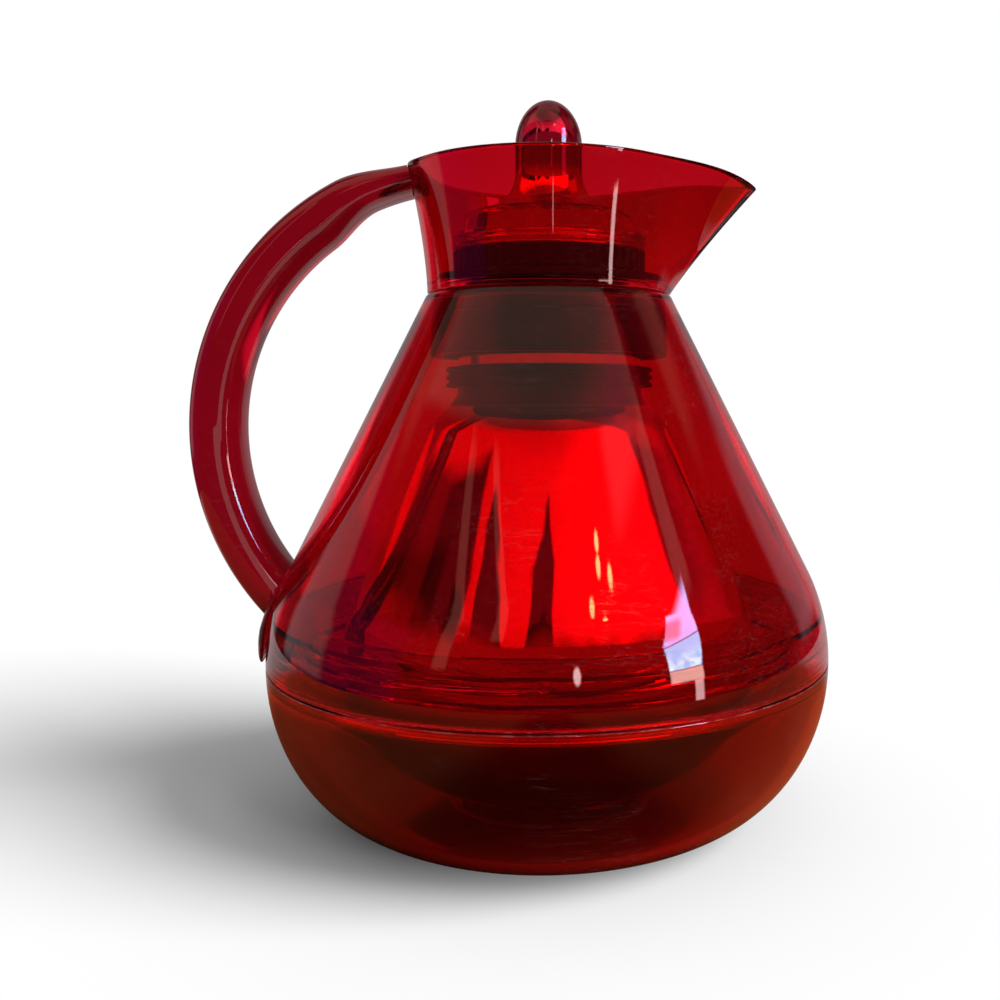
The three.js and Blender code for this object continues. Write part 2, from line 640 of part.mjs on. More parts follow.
// Rubber cup: its top follows the round of the flask's bottom.
function flaskCup() {
  const hole = TIP_RADIUS + SLIDE_GAP;
  const rise = FLASK_HIP_HEIGHT - flaskBase;
  const profile = [point(hole, flaskBase - SEAT_GAP), point(hole, cupLow), point(CUP_RADIUS, cupLow)];
  for (let i = CURVE_STEPS; i >= 0; i -= 1) {
    const r = THREE.MathUtils.lerp(hole, CUP_RADIUS, i / CURVE_STEPS);
    const lean = Math.max(0, (r - FLASK_BASE_RADIUS) / (FLASK_RADIUS - FLASK_BASE_RADIUS));
    profile.push(point(r, FLASK_HIP_HEIGHT - rise * Math.sqrt(1 - lean * lean) - SEAT_GAP));
  }
  profile.pop();
  return turned(profile, SMALL_FACETS);
}

// Stopper

// Outside of the dome and knob, from the ledge above the skirt to the top of the knob.
function domeProfile() {
  const start = point(DOME_RADIUS - DOME_STEP, domeFoot + DOME_SKIRT);
  const shoulder = point(DOME_SHOULDER_RADIUS, domeFoot + DOME_SHOULDER_RISE);
  const run = shoulder.clone().sub(start).normalize();
  const bow = point(run.y, -run.x).multiplyScalar(DOME_SWELL);
  const swell = start.clone().add(shoulder).multiplyScalar(0.5).add(bow);
  const outline = new THREE.Path();
  outline.moveTo(start.x, start.y);
  outline.quadraticCurveTo(swell.x, swell.y, shoulder.x, shoulder.y);
  outline.quadraticCurveTo(KNOB_RADIUS, shoulder.y + DOME_SWELL, KNOB_RADIUS, domeFoot + KNOB_NECK_RISE);
  outline.absellipse(0, domeFoot + KNOB_TOP_RISE - KNOB_ROUND, KNOB_RADIUS, KNOB_ROUND, 0, Math.PI / 2);
  const points = outline.getPoints(CURVE_STEPS / 2);
  points[points.length - 1].x = 0;
  return points;
}

function stopperCap() {
  const dome = domeProfile();
  const skirt = [point(DOME_RADIUS, domeFoot), point(DOME_RADIUS, domeFoot + DOME_SKIRT)];
  const hollow = offset(dome, CAP_WALL).reverse();
  hollow[0].x = 0;
  return turned([...hollow, point(capInner, domeFoot), ...skirt, ...dome], INNER_FACETS);
}

function stopperDisc() {
  const outline = new THREE.Shape();
  for (let i = 0; i < 2 * DISC_RIBS; i += 1) {
    const angle = (i / DISC_RIBS) * Math.PI;
    const r = DOME_RADIUS - (i % 2) * DISC_RIB_DEPTH;
    if (i === 0) outline.moveTo(r, 0);
    else outline.lineTo(r * Math.cos(angle), r * Math.sin(angle));
  }
  const plate = new THREE.ExtrudeGeometry(outline, { depth: DISC_THICKNESS, bevelEnabled: false });
  const registerTop = discTop + DISC_REGISTER;
  const register = disc(capInner - 2 * SLIDE_GAP, discLow + DISC_REGISTER, registerTop, INNER_FACETS);
  const bore = PLUG_BOSS_RADIUS + SEAT_GAP;
  const hole = disc(bore, discLow - DISC_REGISTER, registerTop + DISC_REGISTER, INNER_FACETS);
  return solid(plate.translate(0, 0, discLow)).add(register).subtract(hole);
}

function stopperPlug() {
  return turned([
    point(0, discTop),
    point(PLUG_BOSS_RADIUS, discTop),
    point(PLUG_BOSS_RADIUS, plugTop),
    point(PLUG_RADIUS, plugTop),
    point(PLUG_RADIUS, flangeTop),
    point(PLUG_FLANGE_RADIUS, flangeTop),
    point(PLUG_FLANGE_RADIUS, flangeLow),
    point(PLUG_RADIUS, flangeLow),
    point(PLUG_RADIUS, grooveTop),
    point(PLUG_RADIUS - SEAL_GROOVE, grooveTop),
    point(PLUG_RADIUS - SEAL_GROOVE, grooveLow),
    point(PLUG_RADIUS, grooveLow),
    point(PLUG_RADIUS, plugLow),
    point(cavityRadius, plugLow),
    point(cavityRadius, cavityTop),
    point(0, cavityTop),
  ], INNER_FACETS);
}

function stopperSeal() {
  const inner = PLUG_RADIUS - SEAL_GROOVE + SEAT_GAP;
  return ring(inner, sealRadius, grooveLow + SEAT_GAP, grooveTop - SEAT_GAP, INNER_FACETS);
}

function stopperInsulation() {
  const low = plugLow + PLUG_LID_SPIGOT + SEAT_GAP;
  return disc(cavityRadius - SEAT_GAP, low, cavityTop - SEAT_GAP, SMALL_FACETS);
}

function stopperLid() {
  const top = plugLow - SEAT_GAP;
  const spigot = disc(cavityRadius - SEAT_GAP, top - PLUG_LID / 2, plugLow + PLUG_LID_SPIGOT, SMALL_FACETS);
  return disc(PLUG_RADIUS, top - PLUG_LID, top, INNER_FACETS).add(spigot);
}

// Finishes

const clearRed = new THREE.MeshStandardMaterial({ color: 0xb0051c, roughness: 0.08, metalness: 0 });
const deepRed = new THREE.MeshStandardMaterial({ color: 0x7a0a10, roughness: 0.12, metalness: 0 });
const blackRubber = new THREE.MeshStandardMaterial({ color: 0x1c1816, roughness: 0.6, metalness: 0 });
const blackPlastic = new THREE.MeshStandardMaterial({ color: 0x14100f, roughness: 0.4, metalness: 0 });
const silveredGlass = new THREE.MeshStandardMaterial({ color: 0xd8d4d0, roughness: 0.05, metalness: 1 });
const paleFoam = new THREE.MeshStandardMaterial({ color: 0xe8e2d4, roughness: 0.9, metalness: 0 });
const paleSilicone = new THREE.MeshStandardMaterial({ color: 0xc9c4bb, roughness: 0.5, metalness: 0 });
const greyPad = new THREE.MeshStandardMaterial({ color: 0x8b8880, roughness: 0.8, metalness: 0 });

// A named mesh from a finished solid.
function piece(name, body, material) {
  const { numProp, vertProperties, triVerts } = body.getMesh();
  const geometry = new THREE.BufferGeometry();
  geometry.setAttribute('position', new THREE.BufferAttribute(vertProperties, numProp));
  geometry.setIndex(new THREE.BufferAttribute(triVerts, 1));
  geometry.computeVertexNormals();
  const mesh = new THREE.Mesh(geometry, material);
  mesh.name = name;
  return mesh;
}

const carafe = new THREE.Group();

const jug = new THREE.Group();
jug.add(piece('casing', casing(), clearRed));
jug.add(piece('pouring_collar', pouringCollar(), clearRed));
jug.add(piece('handle', handle(), clearRed));
jug.add(piece('neck_nut', neckNut(), blackPlastic));
jug.add(piece('mouth_gasket', mouthGasket(), blackRubber));
jug.add(piece('stopper_seat', stopperSeat(), blackRubber));
carafe.add(jug);

const flask = new THREE.Group();
flask.add(piece('flask_outer_bulb', outerBulb(), silveredGlass));
flask.add(piece('flask_inner_bulb', innerBulb(), silveredGlass));
for (let i = 0; i < SPACER_COUNT; i += 1) {
  const pad = piece(`flask_spacer_${i + 1}`, spacer(), greyPad);
  pad.rotation.z = (i / SPACER_COUNT) * 2 * Math.PI;
  flask.add(pad);
}
flask.add(piece('shoulder_ring', shoulderRing(), blackRubber));
flask.add(piece('flask_cup', flaskCup(), blackRubber));
carafe.add(flask);

const base = new THREE.Group();
base.add(piece('base_bowl', baseBowl(), deepRed));
carafe.add(base);

const stopper = new THREE.Group();
stopper.add(piece('stopper_cap', stopperCap(), clearRed));
stopper.add(piece('stopper_disc', stopperDisc(), blackPlastic));
stopper.add(piece('stopper_plug', stopperPlug(), blackPlastic));
stopper.add(piece('stopper_seal', stopperSeal(), paleSilicone));
stopper.add(piece('stopper_insulation', stopperInsulation(), paleFoam));
stopper.add(piece('stopper_lid', stopperLid(), blackPlastic));
carafe.add(stopper);

export default carafe;
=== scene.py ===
# %% [markdown]
# # A clear red thermal carafe
# A silvered glass flask stands in a clear red casing. A bowl screws on from below, a pouring collar
# sits on top, and a stopper with a knob closes the mouth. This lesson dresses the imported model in
# smooth meshes and procedural finishes. Everything is in the model's own frame, in metres.

# %% Load the fixed frame
import json
import math
import bmesh
import bpy
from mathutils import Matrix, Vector


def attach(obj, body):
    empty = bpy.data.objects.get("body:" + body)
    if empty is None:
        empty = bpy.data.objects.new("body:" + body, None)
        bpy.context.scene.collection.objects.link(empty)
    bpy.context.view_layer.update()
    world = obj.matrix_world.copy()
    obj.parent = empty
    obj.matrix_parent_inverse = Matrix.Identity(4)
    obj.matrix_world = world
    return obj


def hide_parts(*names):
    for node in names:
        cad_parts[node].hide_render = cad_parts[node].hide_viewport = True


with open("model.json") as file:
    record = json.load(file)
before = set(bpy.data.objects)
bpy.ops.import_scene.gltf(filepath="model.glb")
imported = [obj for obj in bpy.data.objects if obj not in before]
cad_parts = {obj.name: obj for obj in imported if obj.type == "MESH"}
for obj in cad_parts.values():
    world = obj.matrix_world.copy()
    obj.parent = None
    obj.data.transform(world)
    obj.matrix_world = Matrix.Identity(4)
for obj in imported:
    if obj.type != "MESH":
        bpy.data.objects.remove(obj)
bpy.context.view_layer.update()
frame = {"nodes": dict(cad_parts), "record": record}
scene = bpy.context.scene

# %% [markdown]
# ## Tools for outlines
# Nearly every piece was turned or moulded round, so it starts as an outline of radius and height in
# millimetres. A modifier could spin the outline, but plain rings of points also allow ribs, a screw
# thread and a spout, because each direction can have an outline of its own.

# %% Outline helpers
MM = 0.001


def ease(share):
    """From 0 to 1 with a soft start and a soft end."""
    share = min(1.0, max(0.0, share))
    return share * share * (3 - 2 * share)


def between(low, high, share):
    return low + (high - low) * share


def arc(centre, reach, rise, start, end, steps):
    """Points on a part of an ellipse, from one angle to another."""
    turns = [between(start, end, i / steps) for i in range(steps + 1)]
    return [(centre[0] + reach * math.cos(t), centre[1] + rise * math.sin(t)) for t in turns]


def curve(controls, steps):
    """Points on a Bezier curve."""
    points = []
    for i in range(steps + 1):
        layer = list(controls)
        while len(layer) > 1:
            pairs = zip(layer, layer[1:])
            layer = [tuple(between(p, q, i / steps) for p, q in zip(a, b)) for a, b in pairs]
        points.append(layer[0])
    return points


def line(start, end, steps):
    return [tuple(between(p, q, i / steps) for p, q in zip(start, end)) for i in range(steps + 1)]


ROUND_STEPS = 5
LONGEST_CUT = 0.48


def rounded(corners):
    """A closed outline. A corner that has a third number is rounded to about that radius."""
    points = []
    for i, corner in enumerate(corners):
        here = Vector(corner[:2])
        if len(corner) == 2:
            points.append(tuple(here))
            continue
        back = Vector(corners[i - 1][:2]) - here
        ahead = Vector(corners[(i + 1) % len(corners)][:2]) - here
        half = back.angle(ahead) / 2
        cut = min(corner[2] / math.tan(half), LONGEST_CUT * back.length, LONGEST_CUT * ahead.length)
        start, end = here + back.normalized() * cut, here + ahead.normalized() * cut
        points += curve([tuple(start), tuple(here), tuple(end)], ROUND_STEPS)
    return points


def beside(outline, distance):
    """The outline moved sideways, to the left of its run for a positive distance."""
    moved = []
    for i, (r, z) in enumerate(outline):
        before, after = outline[max(i - 1, 0)], outline[min(i + 1, len(outline) - 1)]
        run = (Vector(after) - Vector(before)).normalized()
        moved.append((r - run.y * distance, z + run.x * distance))
    return moved


square = [(0, 0, 1), (9, 0, 1), (9, 9, 1), (0, 9, 1)]
print("a rounded square has", len(rounded(square)), "points")

# %% [markdown]
# ## From rings of points to a piece
# One function joins rings of points to a closed skin. Another one turns an outline about the axis.
# Faces are smooth, and only edges sharper than a set angle stay hard. Each new piece takes the place
# of a node of the frame and rides on that node's body.

# %% Skin, lathe and placing
SHARP = math.radians(38)
ROUND_COLUMNS, THREAD_COLUMNS = 240, 360
SAME_POINT, NO_LENGTH = 1e-3 * MM, 1e-4 * MM
bodies = {node: body for body, nodes in frame["record"]["behaviour"]["bodies"].items() for node in nodes}
skins = {}


def skin(name, node, rings, closed):
    """A closed mesh through rings of points in millimetres, in place of a node of the frame."""
    form = bmesh.new()
    rows = [[form.verts.new([value * MM for value in point]) for point in ring] for ring in rings]
    for one, two in zip(rows, rows[1:] + rows[:1] if closed else rows[1:]):
        for i in range(len(one)):
            form.faces.new([one[i - 1], one[i], two[i], two[i - 1]])
    if not closed:
        form.faces.new(rows[0])
        form.faces.new(rows[-1])
    bmesh.ops.remove_doubles(form, verts=form.verts, dist=SAME_POINT)
    bmesh.ops.dissolve_degenerate(form, edges=form.edges, dist=NO_LENGTH)
    bmesh.ops.recalc_face_normals(form, faces=form.faces)
    mesh = bpy.data.meshes.new(name)
    form.to_mesh(mesh)
    form.free()
    mesh.shade_smooth()
    mesh.set_sharp_from_angle(angle=SHARP)
    piece = bpy.data.objects.new(name, mesh)
    scene.collection.objects.link(piece)
    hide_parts(node)
    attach(piece, bodies[node])
    skins[name] = piece
    print(name, "for", node, "has", len(mesh.polygons), "faces")
    return piece


def even_turns(count):
    """Angles that divide a full turn evenly."""
    return [math.tau * i / count for i in range(count)]


def lathe(name, node, outline, directions=None):
    """Turns an outline about the axis. The outline may be a function of the direction."""
    rings = []
    for turn in directions or even_turns(ROUND_COLUMNS):
        points = outline(turn) if callable(outline) else outline
        rings.append([(r * math.cos(turn), r * math.sin(turn), z) for r, z in points])
    return skin(name, node, rings, True)


# %% [markdown]
# ## Casing
# The casing is a cone that runs into a round hip, moulded with a wall of even thickness. Its outline
# is a straight line that touches an arc, so the highlight flows from one to the other. Inside its
# lower edge are three short lugs that hold the thread of the bowl.

# %% Casing
SEAM_RADIUS, SEAM_HEIGHT = 82.5, 47.0
HIP_ROUND, CASING_WALL = 56.0, 2.6
NECK_RADIUS, NECK_HEIGHT = 35.8, 152.6
BORE, BORE_TOP = 78.25, 60.9
NUT_INNER = 31.2
THREAD_PITCH, THREAD_LOW, THREAD_DEPTH = 3.1, 49.2, 1.4
RIDGE_CREST, RIDGE_FLANK = 0.3, 0.45
hip = (SEAM_RADIUS - HIP_ROUND, SEAM_HEIGHT)
neck_way = Vector((NECK_RADIUS - hip[0], NECK_HEIGHT - hip[1]))
cone_lean = math.atan2(neck_way.y, neck_way.x) - math.acos(HIP_ROUND / neck_way.length)


def casing_radius(height, inset=0.0):
    """Radius of the casing at a height, less an inset into its wall."""
    reach, rise = HIP_ROUND - inset, height - SEAM_HEIGHT
    if rise < reach * math.sin(cone_lean):
        return hip[0] + math.sqrt(reach * reach - rise * rise)
    along = (rise - reach * math.sin(cone_lean)) / math.cos(cone_lean)
    return hip[0] + reach * math.cos(cone_lean) - along * math.sin(cone_lean)


def ridge(off_middle):
    """Height of a thread's ridge as a share, by the distance from its middle in millimetres."""
    return 1 - ease((abs(off_middle) - RIDGE_CREST) / RIDGE_FLANK)


LUG_TURN, LUG_SWEEP, LUG_COUNT = 1.5, math.radians(30), 3
LUG_DEPTH, LUG_FADE = 1.35, 0.04
CASING_LOW = SEAM_HEIGHT + 0.5
EDGE_ANGLE, BORE_ANGLE = 0.022, 0.2634


def casing_outline(turn):
    outside = arc(hip, HIP_ROUND, HIP_ROUND, EDGE_ANGLE, cone_lean, 48)
    outside += line(outside[-1], (NECK_RADIUS, NECK_HEIGHT), 12)[1:-1]
    flange = NECK_HEIGHT - CASING_WALL
    inner_round = HIP_ROUND - CASING_WALL
    inside = arc(hip, inner_round, inner_round, cone_lean, BORE_ANGLE, 24)
    lug_height = THREAD_LOW + (LUG_TURN + turn / math.tau) * THREAD_PITCH
    local = turn % (math.tau / LUG_COUNT)
    sweep = ease(local / LUG_FADE) * ease((LUG_SWEEP - local) / LUG_FADE)
    bore = []
    for _, z in line((0, BORE_TOP), (0, CASING_LOW + 0.6), 52):
        bore.append((BORE - LUG_DEPTH * sweep * ridge(z - lug_height), z))
    top = [(NECK_RADIUS, NECK_HEIGHT, 1.4), (NUT_INNER, NECK_HEIGHT, 0.4), (NUT_INNER, flange, 0.4)]
    top += [(casing_radius(flange, CASING_WALL), flange, 0.6)]
    outer_edge, inner_edge = (SEAM_RADIUS, CASING_LOW, 0.7), (BORE, CASING_LOW, 0.4)
    return rounded([outer_edge] + outside + top + inside + bore + [inner_edge])


lathe("clear_casing", "casing", casing_outline, even_turns(THREAD_COLUMNS))

# %% [markdown]
# ## Bowl
# The bowl is the base. It is a quarter of an ellipse on a flat foot, and it carries a ring with a
# screw thread that goes up inside the casing. The thread is a height field on that ring: the distance
# from the nearest winding says how far a point stands out, so the ridge stays one clean surface.

# %% Bowl with its screw ring
FOOT_RADIUS, BOWL_WALL = 45.0, 2.8
SPIGOT_RADIUS, SPIGOT_INNER, SPIGOT_TOP = 76.45, 74.0, 62.8
LEDGE_RADIUS = 79.3
THREAD_TURNS, THREAD_FADE, THREAD_ROWS = 3, 0.04, 100
CUP_RING_OUTER, CUP_RING_INNER, CUP_RING_TOP = 30.9, 28.9, 7.8


def thread_reach(turn, height):
    """Radius of the screw ring at a height, with its ridge."""
    phase = (height - THREAD_LOW) / THREAD_PITCH - turn / math.tau
    winding = round(phase)
    run = winding + turn / math.tau
    ends = ease(run / THREAD_FADE) * ease((THREAD_TURNS - run) / THREAD_FADE)
    return SPIGOT_RADIUS + THREAD_DEPTH * ends * ridge((phase - winding) * THREAD_PITCH)


def bowl_outline(turn):
    reach = SEAM_RADIUS - FOOT_RADIUS
    outside = [(0, 0), (FOOT_RADIUS - 8, 0)]
    outside += arc((FOOT_RADIUS, SEAM_HEIGHT), reach, SEAM_HEIGHT, -math.pi / 2, -0.016, 56)
    rows = line((0, SEAM_HEIGHT + 0.3), (0, SPIGOT_TOP - 0.8), THREAD_ROWS)
    thread = [(thread_reach(turn, z), z) for _, z in rows]
    ledge = SEAM_HEIGHT - BOWL_WALL
    top = [(SPIGOT_RADIUS, SPIGOT_TOP, 0.6), (SPIGOT_INNER, SPIGOT_TOP, 0.6), (SPIGOT_INNER, ledge, 1.2)]
    inside = arc((FOOT_RADIUS, SEAM_HEIGHT), reach - BOWL_WALL, ledge, -0.1, -math.pi / 2, 40)
    cup_ring = [(CUP_RING_OUTER, BOWL_WALL, 0.6), (CUP_RING_OUTER, CUP_RING_TOP, 0.5)]
    cup_ring += [(CUP_RING_INNER, CUP_RING_TOP, 0.5), (CUP_RING_INNER, BOWL_WALL, 0.4), (0, BOWL_WALL)]
    rim = [(SEAM_RADIUS, SEAM_HEIGHT, 0.7), (SPIGOT_RADIUS, SEAM_HEIGHT, 0.25)]
    return rounded(outside + rim + thread + top + [(LEDGE_RADIUS, ledge, 1.0)] + inside + cup_ring)


lathe("clear_bowl", "base_bowl", bowl_outline, even_turns(THREAD_COLUMNS))

# %% [markdown]
# ## Pouring collar
# The collar is a flared ring whose rim is a circle with two straight sides that meet in a spout. The
# rim drops towards the tip of the spout. Directions lie four times closer at the spout, so that its
# tip is round and not cut off. A floor and a skirt below it hold the collar in the neck of the casing.

# %% Pouring collar
COLLAR_FOOT, COLLAR_BASE, COLLAR_WALL, COLLAR_FLOOR = 35.6, 152.9, 2.4, 155.3
RIM_RADIUS, RIM_HEIGHT, RIM_LEVEL = 41.0, 188.5, 28.0
RIM_HANDLE_RISE, RIM_SPOUT_DROP, RIM_BOW = 1.6, 4.0, 4
SPOUT_REACH, SPOUT_TIP_ROUND = 61.7, math.radians(3)
SKIRT_INNER, SKIRT_OUTER, SKIRT_LOW, COLLAR_BORE = 28.4, 30.8, 136.9, 24.0
COLLAR_ROWS, COLLAR_COLUMNS, FLARE_BOW = 22, 336, 1.6
spout_turn = SPOUT_TIP_ROUND + math.acos(RIM_RADIUS / SPOUT_REACH)


def rim_reach(direction, inset):
    turn = math.hypot(direction, SPOUT_TIP_ROUND)
    circle = RIM_RADIUS - inset
    return circle / math.cos(spout_turn - turn) if turn < spout_turn else circle


def collar_reach(direction, share, inset):
    """Reach of the collar's wall in a direction, at a share of the way up to the rim."""
    flare = (RIM_RADIUS - COLLAR_FOOT) * max(0.0, share) ** FLARE_BOW
    spout = (rim_reach(direction, inset) - RIM_RADIUS + inset) * share
    return COLLAR_FOOT - inset + flare + spout


def rim_height(direction):
    """Height of the rim: level along the sides, higher at the handle, lower at the spout."""
    along = rim_reach(direction, 0) * math.cos(direction)
    to_handle = max(0.0, (-along - RIM_LEVEL) / (RIM_RADIUS - RIM_LEVEL))
    to_spout = max(0.0, (along - RIM_LEVEL) / (SPOUT_REACH - RIM_LEVEL))
    return RIM_HEIGHT + RIM_HANDLE_RISE * to_handle**RIM_BOW - RIM_SPOUT_DROP * to_spout**RIM_BOW


def collar_outline(turn):
    side = turn - math.tau if turn > math.pi else turn
    rise = rim_height(side) - COLLAR_BASE

    def wall(low, high, inset):
        shares = [between(low, high, i / COLLAR_ROWS) for i in range(COLLAR_ROWS + 1)]
        return [(collar_reach(side, share, inset), COLLAR_BASE + rise * share) for share in shares]

    floor_share = (COLLAR_FLOOR - COLLAR_BASE) / rise
    outer = wall(0.03, 0.96, 0)
    inner = wall(0.96, floor_share + 0.05, COLLAR_WALL)
    top = [(collar_reach(side, 1, inset), COLLAR_BASE + rise, 1.0) for inset in (0, COLLAR_WALL)]
    floor = [(collar_reach(side, floor_share, COLLAR_WALL), COLLAR_FLOOR, 1.6)]
    floor += [(COLLAR_BORE, COLLAR_FLOOR, 0.4), (COLLAR_BORE, COLLAR_BASE, 0.4)]
    skirt = [(SKIRT_INNER, COLLAR_BASE, 0.4), (SKIRT_INNER, SKIRT_LOW, 0.5), (SKIRT_OUTER, SKIRT_LOW, 0.5)]
    skirt += [(SKIRT_OUTER, COLLAR_BASE, 0.3), (collar_reach(side, 0, 0), COLLAR_BASE, 0.7)]
    return rounded(outer + top + inner + floor + skirt)


SPOUT_CLOSER = 0.75
spout_directions = [turn - SPOUT_CLOSER * math.sin(turn) for turn in even_turns(COLLAR_COLUMNS)]
lathe("clear_collar", "pouring_collar", collar_outline, spout_directions)

# %% [markdown]
# ## Handle
# The handle is a loop with a rounded section, thin where it leaves the collar and full in the grip. It
# ends on the casing and spreads there into a thin tongue. Each line along the handle starts on the
# collar, follows the loop until it meets the tongue, and then runs down the casing, so that grip and
# tongue are one skin.

# %% Handle path
JOINT_DROP, FOOT_RISE, LOOP_BULGE = 4.8, 18.0, 35.5
HALF_THICK, HALF_WIDE, SQUARENESS = 7.7, 10.0, 2.5
TOP_OUTER, TOP_OUTER_END = 4.7, 0.13
TOP_INNER, TOP_INNER_START, TOP_INNER_RUN = 4.0, 0.08, 0.12
SEAT_GAP = 0.3
SECTION_POINTS, GRIP_STEPS, TONGUE_STEPS = 96, 150, 40
joint_height = rim_height(math.pi) - JOINT_DROP
joint_share = (joint_height - COLLAR_BASE) / (rim_height(math.pi) - COLLAR_BASE)
loop_top = Vector((-collar_reach(math.pi, joint_share, 0), joint_height))
loop_foot = Vector((-casing_radius(SEAM_HEIGHT + FOOT_RISE), SEAM_HEIGHT + FOOT_RISE))
chord = loop_foot - loop_top
loop_round = ((chord.length / 2) ** 2 + LOOP_BULGE**2) / (2 * LOOP_BULGE)
outward = Vector((chord.y, -chord.x)).normalized()
loop_centre = (loop_top + loop_foot) / 2 + outward * (LOOP_BULGE - loop_round)
loop_start = math.atan2(loop_top.y - loop_centre.y, loop_top.x - loop_centre.x)
loop_sweep = 2 * math.asin(chord.length / 2 / loop_round)


def loop_frame(share):
    """Middle of the grip and the way out of its arc, at a share of the way down."""
    angle = loop_start + loop_sweep * share
    out = Vector((math.cos(angle), math.sin(angle)))
    return loop_centre + out * loop_round, out


def power(value):
    return math.copysign(abs(value) ** (2 / SQUARENESS), value)


corners = [(power(math.cos(turn)), power(math.sin(turn))) for turn in even_turns(SECTION_POINTS)]


def grip_point(share, index):
    """One point of the grip's section: across goes outwards, side to the left or right."""
    middle, out = loop_frame(share)
    across, side = corners[index]
    outer = between(TOP_OUTER, HALF_THICK, ease(share / TOP_OUTER_END))
    inner = between(TOP_INNER, HALF_THICK, ease((share - TOP_INNER_START) / TOP_INNER_RUN))
    point = middle + out * across * (outer if across > 0 else inner)
    return point.x, side * HALF_WIDE, point.y


print("handle arc:", round(loop_round, 1), "mm,", round(math.degrees(loop_sweep), 1), "degrees")

# %% Tongue at the handle's foot
TONGUE_LOW, TONGUE_TOP, TONGUE_CORNER = 48.1, 71.0, 6.0
TONGUE_TOP_WIDE, TONGUE_FOOT_WIDE = 9.0, 22.0
TONGUE_THICK, TONGUE_EDGE, TONGUE_ROUND = 2.8, 1.2, 16.0
TONGUE_RUN, TONGUE_FLARE = 12.0, 4.9


def tongue_width(height):
    """Half width of the tongue. Its sides flare in a curve and end in round lower corners."""
    rise = height - TONGUE_LOW
    if rise < TONGUE_CORNER:
        return TONGUE_FOOT_WIDE - TONGUE_CORNER * (1 - math.sqrt(max(0.0, rise) / TONGUE_CORNER)) ** 2
    drop = max(0.0, TONGUE_TOP - height)
    share = (math.sqrt(TONGUE_RUN**2 + 4 * TONGUE_FLARE * drop) - TONGUE_RUN) / (2 * TONGUE_FLARE)
    return between(TONGUE_TOP_WIDE, TONGUE_FOOT_WIDE, share * share)


def tongue_reach(height, across):
    """Distance from the axis of a point in the tongue, from its inner to its outer face."""
    fade = min(1.0, max(0.0, (height - TONGUE_LOW) / TONGUE_ROUND))
    thick = between(TONGUE_EDGE, TONGUE_THICK, math.sqrt(fade * (2 - fade)))
    return casing_radius(height) + SEAT_GAP + thick * (across + 1) / 2


def crossing(index, low, high, is_past):
    """Share between low and high at which one line along the handle passes into something."""
    for _ in range(40):
        share = (low + high) / 2
        low, high = (low, share) if is_past(grip_point(share, index)) else (share, high)
    return high


print("tongue", 2 * tongue_width(TONGUE_LOW + TONGUE_CORNER), "mm wide")

# %% Handle mesh
def clear_of_collar(point):
    side = math.atan2(point[1], point[0])
    up = (point[2] - COLLAR_BASE) / (rim_height(side) - COLLAR_BASE)
    return math.hypot(point[0], point[1]) > collar_reach(side, min(up, 1.1), 0) + SEAT_GAP


def tongue_point(index, share, start):
    """A point on a line down the tongue, from where that line of the grip ends."""
    across, side = corners[index]
    height = between(start[2], TONGUE_LOW, share)
    sideways = between(start[1], side * tongue_width(height), ease(3 * share))
    reach = tongue_reach(height, across)
    return -math.sqrt(reach * reach - sideways * sideways), sideways, height


starts, ends = [], []
for i, (across, _) in enumerate(corners):
    starts.append(crossing(i, -0.08, 0.06, clear_of_collar))
    ends.append(crossing(i, 0.8, 1.1, lambda p: math.hypot(p[0], p[1]) < tongue_reach(p[2], across)))
handle_rings = []
for step in range(GRIP_STEPS + 1):
    shares = [between(start, end, step / GRIP_STEPS) for start, end in zip(starts, ends)]
    handle_rings.append([grip_point(share, i) for i, share in enumerate(shares)])
for step in range(1, TONGUE_STEPS + 1):
    share = math.sin(step / TONGUE_STEPS * math.pi / 2)
    handle_rings.append([tongue_point(i, share, start) for i, start in enumerate(handle_rings[GRIP_STEPS])])
handle = skin("loop_handle", "handle", handle_rings, False)

# %% [markdown]
# ## Rings at the mouth
# A black nut clamps the collar from below, a gasket seals the flask against it, and a ring on the
# collar's floor carries the stopper. A ribbed ring of rubber centres the neck of the flask. Each is
# turned from an outline with softly broken edges, because a moulded edge is never quite sharp.

# %% Nut, gasket, seat and ribbed ring
nut_edge = casing_radius(149.7, CASING_WALL) - SEAT_GAP
nut_outline = [
    (NUT_INNER, 135.3, 0.5), (35.0, 135.3, 0.8), (35.0, 146.2, 0.2), (34.5, 146.5, 0.2), (34.5, 146.9, 0.2),
    (min(34.9, nut_edge + 1.2), 147.2, 0.3), (nut_edge, 149.7, 0.4), (NUT_INNER, 149.7, 0.4),
]
lathe("clamp_nut", "neck_nut", rounded(nut_outline))
gasket_outline = [(22.1, 149.8, 0.6), (28.1, 149.8, 0.6), (28.1, 152.6, 0.6), (22.1, 152.6, 0.6)]
lathe("lip_gasket", "mouth_gasket", rounded(gasket_outline))
seat_outline = [
    (22.1, 152.9, 0.4), (23.7, 152.9, 0.4), (23.7, 155.6), (32.8, 155.6, 0.5), (32.8, 158.0, 0.9),
    (22.1, 158.0, 0.7),
]
lathe("seat_ring", "stopper_seat", rounded(seat_outline))
RIB_COUNT, RIBBED_LOW, RIBBED_LENGTH = 3, 126.3, 5.6
RIBBED_INNER, RIBBED_OUTER, RIBBED_DEPTH = 27.5, 30.5, 0.8
rib = RIBBED_LENGTH / (2 * RIB_COUNT - 1)
ribbed_outline = [(RIBBED_INNER, RIBBED_LOW, 0.4)]
for i in range(2 * RIB_COUNT - 1):
    reach = RIBBED_OUTER - RIBBED_DEPTH * (i % 2)
    ribbed_outline += [(reach, RIBBED_LOW + i * rib, 0.35), (reach, RIBBED_LOW + (i + 1) * rib, 0.35)]
